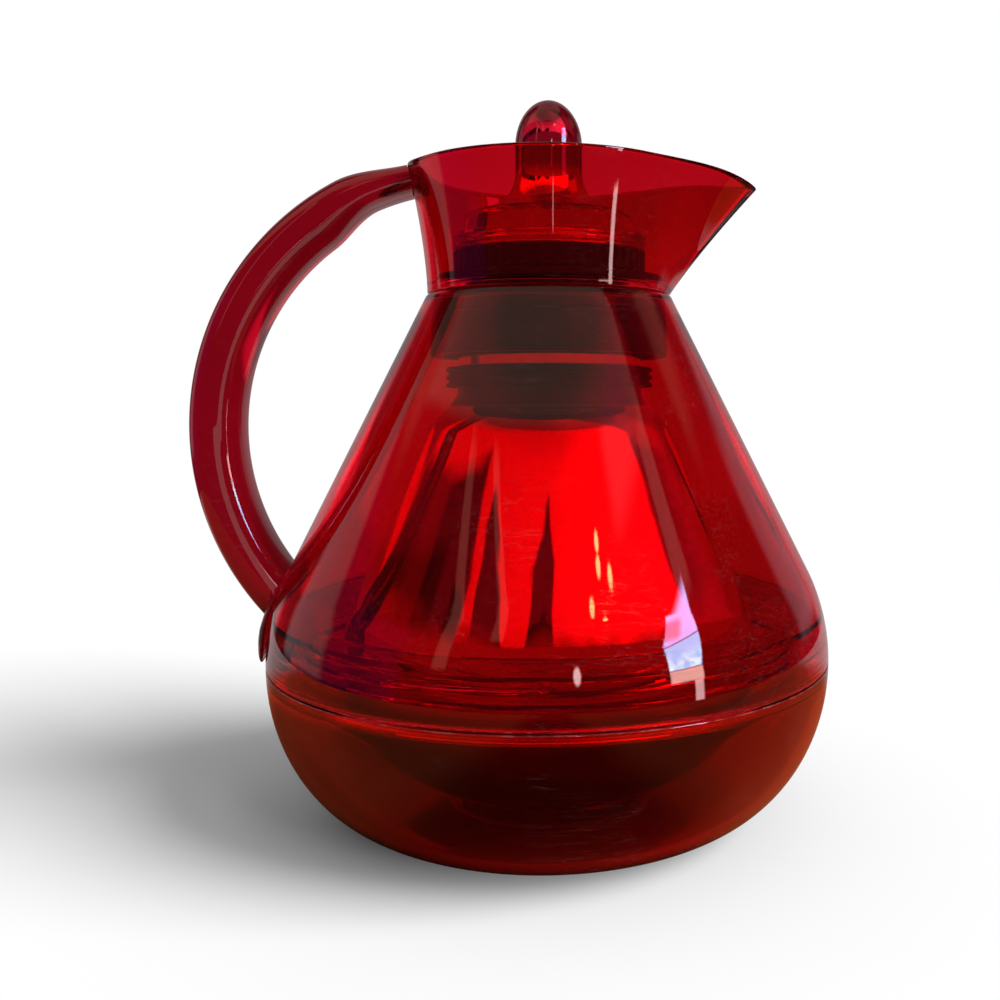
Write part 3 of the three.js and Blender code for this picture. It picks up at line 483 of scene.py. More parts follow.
ribbed_outline += [(RIBBED_INNER, RIBBED_LOW + RIBBED_LENGTH, 0.4)]
lathe("ribbed_ring", "shoulder_ring", rounded(ribbed_outline))

# %% [markdown]
# ## Silvered flask
# The flask is two glass bulbs with a vacuum between them, silvered on the inside, so it looks like a
# mirror. Only the outer bulb shows. Its bell shape decides what it mirrors, so its outline has many
# points. The inner bulb and its pads stay as the frame has them. A rubber cup carries the flask.

# %% Outer bulb and cup
FLASK_RADIUS, FLASK_HIP, FLASK_ROUND, FLASK_FOOT = 62.0, 44.0, 44.0, 20.0
FLASK_NECK, FLASK_LOW, FLASK_TOP, GLASS = 27.2, 8.9, 147.7, 1.5
SHOULDER_RUN, SHOULDER_LEAD, NECK_CURVE, NECK_LOW = 5.5, 11.5, 120.5, 126.0
flask_hip = Vector((FLASK_RADIUS - FLASK_ROUND, FLASK_HIP))
flask_shoulder = Vector((38.0, 108.3))
flask_way = flask_shoulder - flask_hip
flask_lean = math.atan2(flask_way.y, flask_way.x) - math.acos(FLASK_ROUND / flask_way.length)
flask_side = arc(flask_hip, FLASK_ROUND, FLASK_ROUND, 0, flask_lean, 30)
flask_run = (flask_shoulder - Vector(flask_side[-1])).normalized()
flask_turn = tuple(flask_shoulder + flask_run * SHOULDER_RUN)
flask_lead = tuple(flask_shoulder + flask_run * SHOULDER_LEAD)


def foot_arc(start, end, steps):
    """A part of the rounding from the flask's foot to its side."""
    reach, rise = FLASK_RADIUS - FLASK_FOOT, FLASK_HIP - FLASK_LOW
    return arc((FLASK_FOOT, FLASK_HIP), reach, rise, start, end, steps)


sealed_tip = [(0, FLASK_LOW - 4), (1.2, FLASK_LOW - 4), (1.6, FLASK_LOW - 3.6), (2.6, FLASK_LOW)]
flask_foot = line((3.2, FLASK_LOW), (FLASK_FOOT, FLASK_LOW), 4)
flask_outline = foot_arc(-math.pi / 2, 0, 40)[1:]
flask_outline += flask_side[1:] + line(flask_side[-1], flask_turn, 8)[1:]
flask_outline += curve([flask_turn, flask_lead, (FLASK_NECK, NECK_CURVE), (FLASK_NECK, NECK_LOW)], 24)[1:]
flask_outline += line((FLASK_NECK, NECK_LOW), (FLASK_NECK, FLASK_TOP), 5)[1:]
glass_inside = [(0, FLASK_LOW + GLASS)] + [(max(r, 0.0), z) for r, z in beside(flask_outline, GLASS)]
lathe("outer_glass", "flask_outer_bulb", sealed_tip + flask_foot + flask_outline + glass_inside[::-1])
cup_top = [(r, z - SEAT_GAP) for r, z in foot_arc(-math.pi / 2 + 0.2, -math.pi / 2, 8)]
cup_outline = [(3.4, 3.1, 0.4), (28.5, 3.1, 0.8)] + cup_top + [(3.4, FLASK_LOW - SEAT_GAP, 0.4)]
lathe("rubber_cup", "flask_cup", rounded(cup_outline))

# %% [markdown]
# ## Stopper
# The stopper is a clear dome with a knob, a black ribbed disc under it and a hollow plug. The dome
# sweeps from the knob to an upright band, and its skirt has two grooves, which give the fine lines
# above the disc. The ribs of the disc follow a wave round the edge. A ring in the plug's groove seals
# the mouth and a lid closes the plug.

# %% Dome with its knob
DOME_FOOT, DOME_STEP, DOME_RADIUS, CAP_WALL = 165.4, 169.7, 28.1, 2.2
KNOB_RADIUS, KNOB_TOP, KNOB_NECK, KNOB_ROUND = 9.8, 209.3, 189.3, 13.4
GROOVES, GROOVE_HALF, GROOVE_DEPTH = (167.0, 168.4), 0.25, 0.3
band_low, band_high, dome_edge = (25.4, DOME_STEP), (24.6, 174.4), (22.4, 176.4)
band = line(band_low, band_high, 4) + curve([band_high, (24.3, 176.0), dome_edge], 8)[1:]
dome = curve([dome_edge, (13.6, 178.4), (KNOB_RADIUS, 182.0), (KNOB_RADIUS, KNOB_NECK)], 24)
dome += arc((0, KNOB_TOP - KNOB_ROUND), KNOB_RADIUS, KNOB_ROUND, 0, math.pi / 2, 24)
dome[-1] = (0, KNOB_TOP)
hollow = [(max(r, 0.0), z) for r, z in beside(dome, CAP_WALL)]
hollow[-1] = (0, KNOB_TOP - CAP_WALL)
skirt = [(DOME_RADIUS - CAP_WALL, DOME_FOOT, 0.3), (DOME_RADIUS, DOME_FOOT, 0.4)]
for groove in GROOVES:
    skirt += [(DOME_RADIUS, groove - GROOVE_HALF, 0.1), (DOME_RADIUS - GROOVE_DEPTH, groove, 0.1)]
    skirt += [(DOME_RADIUS, groove + GROOVE_HALF, 0.1)]
skirt += [(DOME_RADIUS, DOME_STEP, 0.4)]
inner_step = [(22.2, 168.8, 0.8), (DOME_RADIUS - CAP_WALL, 167.7, 0.4)]
dome_outline = rounded(skirt + band[:-1] + dome + hollow[::-1] + inner_step)
dome_piece = lathe("dome_and_knob", "stopper_cap", dome_outline)

# %% Ribbed disc, plug, seal and lid
RIBS, RIB_DEPTH, RIM_LOW, RIM_TOP = 48, 0.5, 158.7, 165.1


def disc_outline(turn):
    reach = DOME_RADIUS - RIB_DEPTH * ease(0.5 + 0.9 * math.cos(turn * RIBS))
    edge = [(reach - 0.5, RIM_LOW, 0.3), (reach, RIM_LOW + 0.5, 0.3)]
    edge += [(reach, RIM_TOP - 0.5, 0.3), (reach - 0.5, RIM_TOP, 0.3)]
    under = [(10.3, 162.9, 0.3), (25.0, 162.9, 0.4), (25.0, RIM_LOW, 0.3)]
    return rounded(under + edge + [(25.1, RIM_TOP), (25.1, 166.9, 0.3), (10.3, 166.9, 0.3)])


lathe("ribbed_disc", "stopper_disc", disc_outline, even_turns(10 * RIBS))
plug_outline = [
    (0, 168.0), (10.0, 168.0, 0.4), (10.0, 162.6, 0.4), (20.5, 162.6, 0.5), (20.5, 160.3, 0.6),
    (24.5, 160.3, 0.6), (24.5, 158.3, 0.5), (20.5, 158.3, 0.5), (20.5, 146.3, 0.2), (19.5, 146.3, 0.2),
    (19.5, 142.7, 0.2), (20.5, 142.7, 0.2), (20.5, 136.3, 0.4), (18.5, 136.3), (18.5, 160.6), (0, 160.6),
]
lathe("hollow_plug", "stopper_plug", rounded(plug_outline))
seal_outline = [(19.8, 143.0, 0.4), (21.7, 143.0, 0.9), (21.7, 146.0, 0.9), (19.8, 146.0, 0.4)]
lathe("plug_seal", "stopper_seal", rounded(seal_outline))
lid_outline = [
    (0, 134.0), (20.5, 134.0, 0.9), (20.5, 136.0, 0.4), (18.2, 136.0), (18.2, 139.3, 0.5), (0, 139.3),
]
lathe("plug_lid", "stopper_lid", rounded(lid_outline))

# %% [markdown]
# ## Shader expressions
# A finish is a graph of nodes. Written as Python expressions it stays readable: a small class holds
# one socket, and adding or multiplying two of them adds a Math node. One method adds any other node
# from its type, its settings and the values or links of its inputs.

# %% A class for sockets
def operator(operation):
    """The method for an operator, and the one for its reflected form."""
    return (
        lambda wire, term: wire.math(operation, wire, term),
        lambda wire, term: wire.math(operation, term, wire),
    )


class Wire:
    __add__, __radd__ = operator("ADD")
    __sub__, __rsub__ = operator("SUBTRACT")
    __mul__, __rmul__ = operator("MULTIPLY")
    __truediv__, __rtruediv__ = operator("DIVIDE")

    def __init__(self, tree, socket=None):
        self.tree, self.socket = tree, socket

    def node(self, kind, settings=None, inputs=None, output=0):
        """Adds a node of a kind and gives one of its outputs."""
        made = self.tree.nodes.new(kind)
        for name, value in (settings or {}).items():
            if name == "stops":
                ramp = made.color_ramp.elements
                while len(ramp) < len(value):
                    ramp.new(1.0)
                for stop, (place, colour) in zip(ramp, value):
                    stop.position, stop.color = place, colour
            else:
                setattr(made, name, value)
        for name, value in (inputs or {}).items():
            if isinstance(value, Wire):
                self.tree.links.new(value.socket, made.inputs[name])
            else:
                made.inputs[name].default_value = value
        return Wire(self.tree, made.outputs[output] if made.outputs else None)

    def other(self, output):
        """Another output of the same node."""
        return Wire(self.tree, self.socket.node.outputs[output])

    def math(self, operation, *terms):
        return self.node("ShaderNodeMath", {"operation": operation}, dict(enumerate(terms)))

    def __abs__(self):
        return self.math("ABSOLUTE", self)

    def step(self, low, high):
        """From 0 at low to 1 at high with soft ends, also downwards where low is the higher one."""
        inputs = {"Value": self, "From Min": low, "From Max": high}
        return self.node("ShaderNodeMapRange", {"interpolation_type": "SMOOTHSTEP"}, inputs)

    def mix(self, one, two):
        """A colour between two colours, with this socket as the share."""
        one, two = (end if isinstance(end, Wire) else (*end, 1) for end in (one, two))
        return self.node("ShaderNodeMix", {"data_type": "RGBA"}, {0: self, 6: one, 7: two}, 2)


def new_material(name):
    """An empty material and a wire that starts its graph."""
    material = bpy.data.materials.new(name)
    material.use_nodes = True
    material.node_tree.nodes.clear()
    return material, Wire(material.node_tree)


print("a wire adds nodes for + - * / and abs")

# %% [markdown]
# ## Texture helpers
# All patterns are worked out in the object's own space, in metres, so they sit on the surface from
# every side. Noise gives clouds and speckles, noise that is stretched in one direction gives
# scratches, and the height in the object tells where an edge has been rubbed.

# %% Clouds, specks and scratches
def place(start):
    return start.node("ShaderNodeTexCoord", output="Object")


def stretched(start, scale, turn=(0.0, 0.0, 0.0)):
    inputs = {"Vector": place(start), "Rotation": turn, "Scale": scale}
    return start.node("ShaderNodeMapping", inputs=inputs)


def clouds(start, scale, detail=3.0, vector=None):
    where = vector or place(start)
    return start.node("ShaderNodeTexNoise", inputs={"Vector": where, "Scale": scale, "Detail": detail})


def scratches(start, count, turn, width):
    """Hairlines: a thin slice through noise that is drawn out along one direction."""
    long_noise = clouds(start, 1.0, 2.0, stretched(start, (count * 0.03, count, count), turn))
    gaps = clouds(start, 45.0, 1.0).step(0.5, 0.6)
    return (1 - abs(long_noise - 0.5).step(0.0, width)) * gaps


def specks(start, count, size):
    cells = start.node("ShaderNodeTexVoronoi", inputs={"Vector": place(start), "Scale": count})
    return 1 - cells.step(size * 0.5, size)


def height(start):
    return start.node("ShaderNodeSeparateXYZ", inputs={"Vector": place(start)}, output="Z")


def height_band(start, middle, half):
    """1 at a height of the object in millimetres, fading out on both sides."""
    return 1 - abs(height(start) - middle * MM).step(half * 0.4 * MM, half * MM)


def bump(start, relief, strength, distance):
    inputs = {"Height": relief, "Strength": strength, "Distance": distance}
    return start.node("ShaderNodeBump", inputs=inputs)


print("textures in metres of the object")

# %% [markdown]
# ## Clear red plastic
# The casing, collar, handle, dome and bowl are clear plastic, dyed in the mass. The shader tints light
# at each surface and knows no thickness, so the thick handle gets a deeper tint than the thin collar.
# A second tint above some height serves the grip, the knob and the screw ring. The screw ring's lighter
# tint is painted light. The surface is glossy with a slow waviness from the mould, hairline scratches,
# and pale nicks along the rubbed seam.

# %% Clear plastic finish
PLASTIC_IOR, SHADOW_TINT, UPPER_DEPTH = 1.47, (0.74, 0.74, 0.74, 1), 0.88


def clear_plastic(name, tint, deep, haze, wear, seam=None, upper=None):
    material, start = new_material(name)
    cloud = clouds(start, 28.0).step(0.3, 0.7)
    tone = cloud.mix(tint, deep)
    if upper:
        upper_tint, low, high = upper
        upper_deep = [UPPER_DEPTH * part for part in upper_tint]
        upper_tone = cloud.mix(upper_tint, upper_deep)
        tone = height(start).step(low * MM, high * MM).mix(tone, upper_tone)
    lines = scratches(start, 420.0, (0.3, 0.5, 0.9), 0.012)
    lines = lines + scratches(start, 300.0, (1.1, 0.2, 2.1), 0.010)
    fine = clouds(start, 1600.0, 1.0)
    rough = 0.01 + haze * fine + 0.2 * wear * lines
    wave = clouds(start, 38.0, 1.0) * 0.9 + lines * (-0.02 * wear) + fine * 0.003
    body = start.node("ShaderNodeBsdfPrincipled", inputs={
        "Base Color": tone, "Roughness": rough, "IOR": PLASTIC_IOR, "Transmission Weight": 1.0,
        "Normal": bump(start, wave, 0.05, 0.0012),
    })
    nicks = specks(start, 95.0, 0.04) * clouds(start, 22.0).step(0.5, 0.64) * 0.5 + lines * 0.1
    mask = nicks * wear
    if seam:
        ragged = clouds(start, 420.0, 4.0).step(0.46, 0.62)
        rubbed = height_band(start, seam, 0.22) * (0.03 + 0.16 * ragged)
        mask = start.math("MINIMUM", mask + rubbed, 1.0)
    chalk_tone = clouds(start, 300.0).mix((0.5, 0.1, 0.11), (0.7, 0.32, 0.3))
    chalk = start.node("ShaderNodeBsdfPrincipled", inputs={"Base Color": chalk_tone, "Roughness": 0.55})
    worn = start.node("ShaderNodeMixShader", inputs={0: mask, 1: body, 2: chalk})
    veil = start.node("ShaderNodeBsdfTransparent", inputs={"Color": SHADOW_TINT})
    in_shadow = start.node("ShaderNodeLightPath", output="Is Shadow Ray")
    surface = start.node("ShaderNodeMixShader", inputs={0: in_shadow, 1: worn, 2: veil})
    start.node("ShaderNodeOutputMaterial", inputs={"Surface": surface})
    return material


GLOSS_HAZE, BOWL_HAZE = 0.012, 0.015
CASING_RUBBED, BOWL_RUBBED = 47.6, 46.8
casing_tints = (0.52, 0.002, 0.012), (0.47, 0.0015, 0.010)
collar_tints = (0.52, 0.002, 0.010), (0.47, 0.0015, 0.008)
tongue_tints = (0.06, 0.002, 0.003), (0.05, 0.002, 0.002)
dome_tints = (0.85, 0.003, 0.016), (0.80, 0.002, 0.014)
# The bowl's tints are warmer and a little deeper than the casing's. This is a painted reflection of a dark
# brown table below.
bowl_tints_painted_brown = (0.50, 0.006, 0.004), (0.43, 0.005, 0.003)
grip = ((0.18, 0.001, 0.006), 58.0, 68.0)
knob = ((0.17, 0.002, 0.009), 184.0, 191.0)
# The screw ring's tint is lighter than the bowl's. This is painted light, standing in for light carried
# inside the plastic.
screw_ring_painted_light = ((0.92, 0.010, 0.016), 48.0, 49.5)
casing_finish = clear_plastic("casing_red", *casing_tints, GLOSS_HAZE, 0.35, CASING_RUBBED)
collar_finish = clear_plastic("collar_red", *collar_tints, GLOSS_HAZE, 0.25)
handle_finish = clear_plastic("handle_red", *tongue_tints, GLOSS_HAZE, 0.3, upper=grip)
dome_finish = clear_plastic("dome_red", *dome_tints, GLOSS_HAZE, 0.2, upper=knob)
bowl_finish = clear_plastic("bowl_red", *bowl_tints_painted_brown, BOWL_HAZE, 0.45, BOWL_RUBBED, screw_ring_painted_light)
print("five clear reds")

# %% [markdown]
# ## Silvered glass
# The mirror on the flask is metal seen through blown glass. It is nearly smooth, with long shallow
# waves down its sides that pull the reflections into ragged streaks. The silver is a little thinner
# in some places, which shows as faint brown clouds. Its foot is painted dark, a painted reflection of
# the dark cup below. A band of black lacquer goes round the neck. The dome of the stopper is silvered
# inside too, so it shines like the flask.

# %% Mirror finish
SILVER, THIN_SILVER, PAINTED_FOOT_REFLECTION = (0.9, 0.88, 0.86), (0.7, 0.62, 0.56), (0.12, 0.1, 0.09)
LACQUER_TONE, LACQUER_EDGE = (0.02, 0.016, 0.014), 0.6
FOOT_BRIGHT, FOOT_DARK = 45.0, 40.0


def silvered(name, lacquer_low, lacquer_high):
    material, start = new_material(name)
    thin = clouds(start, 16.0, 4.0).step(0.55, 0.8)
    level = height(start)
    # Painted reflection: below 45 mm the silver fades to a dark tone, fully dark at 40 mm, standing in for
    # the dark cup it mirrors.
    tone = level.step(FOOT_BRIGHT * MM, FOOT_DARK * MM).mix(thin.mix(SILVER, THIN_SILVER), PAINTED_FOOT_REFLECTION)
    lacquer = level.step(lacquer_low * MM, (lacquer_low + LACQUER_EDGE) * MM)
    lacquer = lacquer * level.step((lacquer_high + LACQUER_EDGE) * MM, lacquer_high * MM)
    tone = lacquer.mix(tone, LACQUER_TONE)
    long_waves = clouds(start, 1.0, 2.0, stretched(start, (60.0, 60.0, 9.0)))
    ripples = clouds(start, 1.0, 2.0, stretched(start, (160.0, 160.0, 40.0)))
    shape = bump(start, long_waves * 0.8 + ripples * 0.03, 0.35, 0.0014)
    rough = 0.03 + 0.05 * thin + 0.3 * lacquer
    mirror = start.node("ShaderNodeBsdfPrincipled", inputs={
        "Base Color": tone, "Metallic": 1 - lacquer, "Roughness": rough, "Normal": shape,
    })
    start.node("ShaderNodeOutputMaterial", inputs={"Surface": mirror})
    return material


LACQUER_LOW, LACQUER_HIGH = 120.5, 132.0
silver_finish = silvered("silvered_glass_mirror", LACQUER_LOW, LACQUER_HIGH)
lining_finish = silvered("silvered_lining", KNOB_TOP, KNOB_TOP + 1)
print("silver with lacquer from", LACQUER_LOW, "to", LACQUER_HIGH, "mm, and a plain lining")

# %% [markdown]
# ## Black, pale and grey pieces
# The nut, disc and plug are black plastic with a satin mould texture. The rubber rings are duller. The
# sealing ring is pale, the foam in the plug is cream, and the pads of the flask are grey felt. They
# share one finish that differs in colour, grain and gloss.

# %% Plain finishes
DULL_GLOSS, GRAIN_DEPTH = 0.2, 0.0002


def moulded(name, tone, dust, rough, grain, strength):
    material, start = new_material(name)
    cloud = clouds(start, 60.0, 4.0)
    fine = clouds(start, grain, 3.0)
    colour = (cloud.step(0.4, 0.75) * 0.5).mix(tone, dust)
    body = start.node("ShaderNodeBsdfPrincipled", inputs={
        "Base Color": colour, "Roughness": rough + 0.18 * (fine - 0.5) + 0.1 * cloud,
        "Specular IOR Level": DULL_GLOSS, "Normal": bump(start, fine, strength, GRAIN_DEPTH),
    })
    start.node("ShaderNodeOutputMaterial", inputs={"Surface": body})
    return material


plastic_finish = moulded("black_satin", (0.014, 0.011, 0.010), (0.035, 0.028, 0.024), 0.3, 1800.0, 0.15)
rubber_finish = moulded("black_dull", (0.018, 0.014, 0.012), (0.05, 0.04, 0.034), 0.5, 1200.0, 0.3)
silicone_finish = moulded("pale_seal", (0.6, 0.57, 0.53), (0.7, 0.68, 0.64), 0.42, 900.0, 0.15)
foam_finish = moulded("cream_foam", (0.72, 0.66, 0.55), (0.55, 0.5, 0.42), 0.85, 700.0, 0.9)
felt_finish = moulded("grey_felt", (0.24, 0.23, 0.21), (0.34, 0.33, 0.3), 0.9, 2600.0, 0.9)
print("five moulded finishes")

# %% [markdown]
# ## Dressing the pieces
# Each new piece gets its finish by name. The dome has two: its inner faces, which look to the axis or
# down, take the silver lining. Five nodes that nobody sees keep their own mesh and get a finish too.

# %% Finishes on pieces
DOME_LINED = 172.0
finishes = {
    "clear_casing": casing_finish, "clear_collar": collar_finish, "loop_handle": handle_finish,
    "dome_and_knob": dome_finish, "clear_bowl": bowl_finish, "outer_glass": silver_finish,
    "plug_seal": silicone_finish,
}
finishes |= dict.fromkeys(["clamp_nut", "ribbed_disc", "hollow_plug", "plug_lid"], plastic_finish)
finishes |= dict.fromkeys(["lip_gasket", "seat_ring", "ribbed_ring", "rubber_cup"], rubber_finish)
for name, finish in finishes.items():
    skins[name].data.materials.clear()
    skins[name].data.materials.append(finish)
dome_piece.data.materials.append(lining_finish)
for face in dome_piece.data.polygons:
    to_axis = face.normal.x * face.center.x + face.normal.y * face.center.y < 0
    face.material_index = int(to_axis or (face.normal.z < -0.5 and face.center.z > DOME_LINED * MM))
kept = {"flask_inner_bulb": silver_finish, "stopper_insulation": foam_finish}
kept |= {f"flask_spacer_{i}": felt_finish for i in (1, 2, 3)}
for name, finish in kept.items():
    for material_slot in frame["nodes"][name].material_slots:
        material_slot.material = finish
print("dressed", len(finishes), "new pieces and", len(kept), "nodes")

# %% [markdown]
# ## Floor
# The carafe stands on a plain white floor. Near the carafe it is an ordinary matt surface that takes
# the shadow. Further out it fades to plain white and meets the white backdrop without an edge. In the
# outer gloss it shows a painted reflection of warm wood, dark along the middle and pale further back.
# Through the clear walls it is painted grey, a painted shade, because a white floor would veil the deep
# red.

# %% Floor
FLOOR_RADIUS, FLOOR_DEPTH, FLOOR_CORNERS = 0.5, 0.0002, 96
FADE_START, FADE_END = 0.26, 0.48
PAINTED_WOOD_REFLECTION, DARK_WOOD_REFLECTION, FAR_WOOD_REFLECTION = (0.36, 0.1, 0.035), (0.03, 0.01, 0.005), (0.5, 0.42, 0.42)
PAINTED_SHADE_THROUGH_WALLS = (0.6, 0.55, 0.52)
floor_mesh = bpy.data.meshes.new("floor")
floor_edge = []
for turn in even_turns(FLOOR_CORNERS):
    floor_edge.append((FLOOR_RADIUS * math.cos(turn), FLOOR_RADIUS * math.sin(turn), -FLOOR_DEPTH))
floor_mesh.from_pydata(floor_edge, [], [list(range(FLOOR_CORNERS))])
floor = bpy.data.objects.new("floor", floor_mesh)
scene.collection.objects.link(floor)
floor_finish, start = new_material("white_floor")
spread = start.node("ShaderNodeVectorMath", {"operation": "LENGTH"}, {0: place(start)}, "Value")
path = start.node("ShaderNodeLightPath", output="Is Camera Ray")
paper_and_painted_tone = clouds(start, 9.0).mix((0.93, 0.93, 0.93), (0.95, 0.95, 0.95))
clear = path.other("Is Transmission Ray")
floor_place = start.node("ShaderNodeSeparateXYZ", inputs={"Vector": place(start)})
# Painted reflection: warm wood that only gloss rays see, dark along the middle and pale further back.
wood_reflection = abs(floor_place).step(0.03, 0.075).mix(DARK_WOOD_REFLECTION, PAINTED_WOOD_REFLECTION)
wood_reflection = floor_place.other("Y").step(0.08, 0.16).mix(wood_reflection, FAR_WOOD_REFLECTION)
paper_and_painted_tone = path.other("Is Glossy Ray").mix(paper_and_painted_tone, wood_reflection)
# Painted shade: the floor turns grey where it is seen through the clear walls.
paper_and_painted_tone = clear.mix(paper_and_painted_tone, PAINTED_SHADE_THROUGH_WALLS)
paper = start.node("ShaderNodeBsdfDiffuse", inputs={"Color": paper_and_painted_tone})
glow = start.node("ShaderNodeEmission", inputs={"Strength": 1.0})
fade = spread.step(FADE_START, FADE_END) * start.math("MAXIMUM", path, clear)
faded = start.node("ShaderNodeMixShader", inputs={0: fade, 1: paper, 2: glow})
start.node("ShaderNodeOutputMaterial", inputs={"Surface": faded})
floor_mesh.materials.append(floor_finish)
print("floor", 2 * FLOOR_RADIUS, "m wide, plain white from", FADE_END, "m")

# %% [markdown]
# ## Studio
# A wide sun lamp from the right gives the soft shadow to the left, and the world fills it. What the
# gloss and the mirror show is a studio drawn into the world by direction, because shiny pieces have no
# look of their own. Azimuth counts from the front to the right, elevation from the floor up.

# %% Directions of the world
world = bpy.data.worlds.new("studio")
scene.world = world
world.use_nodes = True
world.node_tree.nodes.clear()
sky = Wire(world.node_tree)
direction = sky.node("ShaderNodeTexCoord", output="Generated")
way = sky.node("ShaderNodeSeparateXYZ", inputs={0: direction})
DEGREES = 180 / math.pi
azimuth = sky.math("ARCTAN2", way, way.other("Y") * -1.0) * DEGREES
elevation = sky.math("ARCSINE", way.other("Z")) * DEGREES


def window(value, low, high, soft):
    """1 between two values, with soft edges."""
    return value.step(low - soft, low + soft) * value.step(high + soft, high - soft)


def above(start):
    """Degrees above an elevation, and 0 below it."""
    return sky.math("MAXIMUM", elevation - start, 0.0)


def spot(at, up, half_wide, half_high):
    """1 in a small oval."""
    wide, high = (azimuth - at) / half_wide, (elevation - up) / half_high
    return 1 - sky.math("SQRT", wide * wide + high * high).step(0.5, 1.0)


print("azimuth and elevation in degrees")

# %% [markdown]
# ## Light behind the clear walls
# The flask stands in the casing like a mirror in a dark room with one big soft screen. The screen
# reaches from the left front to the right, with two dark gaps in it that taper upwards, and dark walls
# stand beside it. Ramps hold both by azimuth. Behind the carafe, and low on both sides, is the pale
# backdrop.

# %% Screen that the flask mirrors
SCREEN_PEAK, BELOW_SCREEN, SCREEN_EDGE = 8.0, 1.2, 1.2
screen_levels = [
    (-160, 2.4), (-140, 3.2), (-110, 3.0), (-66, 3.0), (-48, 3.2), (-33, 3.5), (-10, 3.9), (8, 4.4),
    (20, 5.2), (38, 6.4), (60, 7.0), (82, 7.0), (86, 4.0), (89, 1.7), (130, 1.7), (145, 2.2), (160, 2.2),
]
wall_shades = [
    (-130, 0.0), (-126, 0.88), (-106, 0.9), (-102, 0.84), (-91, 0.84), (-87, 0.96), (-58, 0.96),
    (-56, 0.0), (86, 0.0), (89, 0.72), (104, 0.74), (117, 0.5), (130, 0.25), (150, 0.0),
]


def by_azimuth(levels):
    """A value that depends on the azimuth alone."""
    stops = [((at + 180) / 360, (level / SCREEN_PEAK,) * 3 + (1,)) for at, level in levels]
    return sky.node("ShaderNodeValToRGB", {"stops": stops}, {0: (azimuth + 180.0) / 360.0}) * SCREEN_PEAK


wall_top = sky.math("MINIMUM", 58.3 + 0.32 * azimuth, 69.0 - 0.4 * azimuth)
walls = by_azimuth(wall_shades) * elevation.step(wall_top + SCREEN_EDGE, wall_top - SCREEN_EDGE)
left_edge = sky.math("MINIMUM", 40.6 - 2.2 * elevation, -27.0)
left_gap = window(azimuth, -49.5, left_edge, 0.9) * elevation.step(39.2, 38.2)
drop = 41.6 - elevation
middle_left = sky.math("MAXIMUM", -4.0 - 2.4 * drop, -12.0 - 0.7 * drop)
middle_right = sky.math("MINIMUM", 1.5 * drop - 3.0, 1.2)
middle_gap = window(azimuth, middle_left, middle_right, 0.8)
right_line = window(azimuth + 0.5 * elevation, 142.0, 146.0, 1.2) * elevation.step(17.0, 13.0)
dark = sky.math("MAXIMUM", right_line, sky.math("MAXIMUM", left_gap, middle_gap))
dimmed = (1 - 0.3 * elevation.step(42.0, 50.0)) * (1 - 0.7 * elevation.step(52.0, 60.0))
screen = by_azimuth(screen_levels) * (1 - walls) * (1 - 0.95 * dark) * dimmed
screen_low = 33.0 - 0.00155 * azimuth * azimuth
on_screen = elevation.step(screen_low - SCREEN_EDGE, screen_low + SCREEN_EDGE)
screen = BELOW_SCREEN + on_screen * (screen - BELOW_SCREEN)
aside = abs(azimuth).step(124.0, 132.0) * elevation.step(12.0, 15.0)
low_aside = abs(azimuth).step(66.0, 80.0) * elevation.step(8.0, 5.0)
straight = sky.math("MAXIMUM", abs(azimuth).step(149.0, 155.0), sky.math("MAXIMUM", aside, low_aside))
backdrop_light = 1.15 - 0.4 * elevation.step(2.0, 14.0)
inner_light = screen + straight * (backdrop_light - screen)
inner_parts = {0: inner_light, 1: inner_light * 0.95, 2: inner_light * 0.93}
inner_colour = sky.node("ShaderNodeCombineColor", inputs=inner_parts)
print("screen with", len(screen_levels), "levels")

# %% [markdown]
# ## Light on the outer gloss
# The outer surfaces show a dim room: a warm ceiling, pale walls far to the left and right, and three
# upright posts. A window of coloured panes stands to the right, two slim lights stand in front, and
# five small lamps hang above them. Each is a coloured shape, laid over the ones before.

# %% Room that the gloss shows
ceiling_edge = 51.2 - 0.00185 * azimuth * azimuth
ceiling = elevation.step(ceiling_edge, ceiling_edge + 1.4) * window(azimuth, -112.0, 71.0, 1.5)
ceiling = sky.math("MAXIMUM", ceiling, elevation.step(60.0, 66.0))
gloss = ceiling.mix((0.02, 0.015, 0.018), (0.42, 0.44, 0.34))
post_one = 1 - abs(azimuth + 43.0 + 1.5 * above(38.0)).step(2.2, 3.6)
post_two = 1 - abs(azimuth + 22.5 + 2.2 * above(41.0)).step(2.0, 3.2)
post_three = window(azimuth, 63.0, 70.5, 0.8)
left_wall = window(azimuth, -126.0, -97.0 - 0.8 * above(12.0), 2.5)
room = [
    (abs(azimuth).step(138.0, 146.0), (0.36, 0.31, 0.32)),
    (window(abs(azimuth), 99.0, 124.0, 4.0) * window(elevation, 30.0, 42.0, 3.0), (0.4, 0.2, 0.15)),
    (window(azimuth, -112.0, -60.0, 5.0) * window(elevation, -9.0, 26.0, 4.0), (0.04, 0.015, 0.13)),
    (left_wall * window(elevation, -6.0, 30.0, 1.5), (0.42, 0.37, 0.4)),
    (window(azimuth, 119.0, 141.0, 3.0) * window(elevation, -2.0, 20.0, 3.0), (0.34, 0.32, 0.37)),
    (window(azimuth, 38.0, 64.0, 4.0) * window(elevation, 43.0, 49.5, 1.5), (0.35, 0.36, 0.42)),
    (post_one * window(elevation, 12.0, 45.0, 1.5), (1.4, 0.45, 0.35)),
    (post_two * window(elevation, 29.0, 47.5, 1.0), (1.4, 0.45, 0.35)),
    (post_three * window(elevation, 33.0, 43.5, 1.0), (1.1, 0.55, 0.5)),
]
for shape, colour in room:
    gloss = shape.mix(gloss, colour)
print("room with", len(room), "shapes")

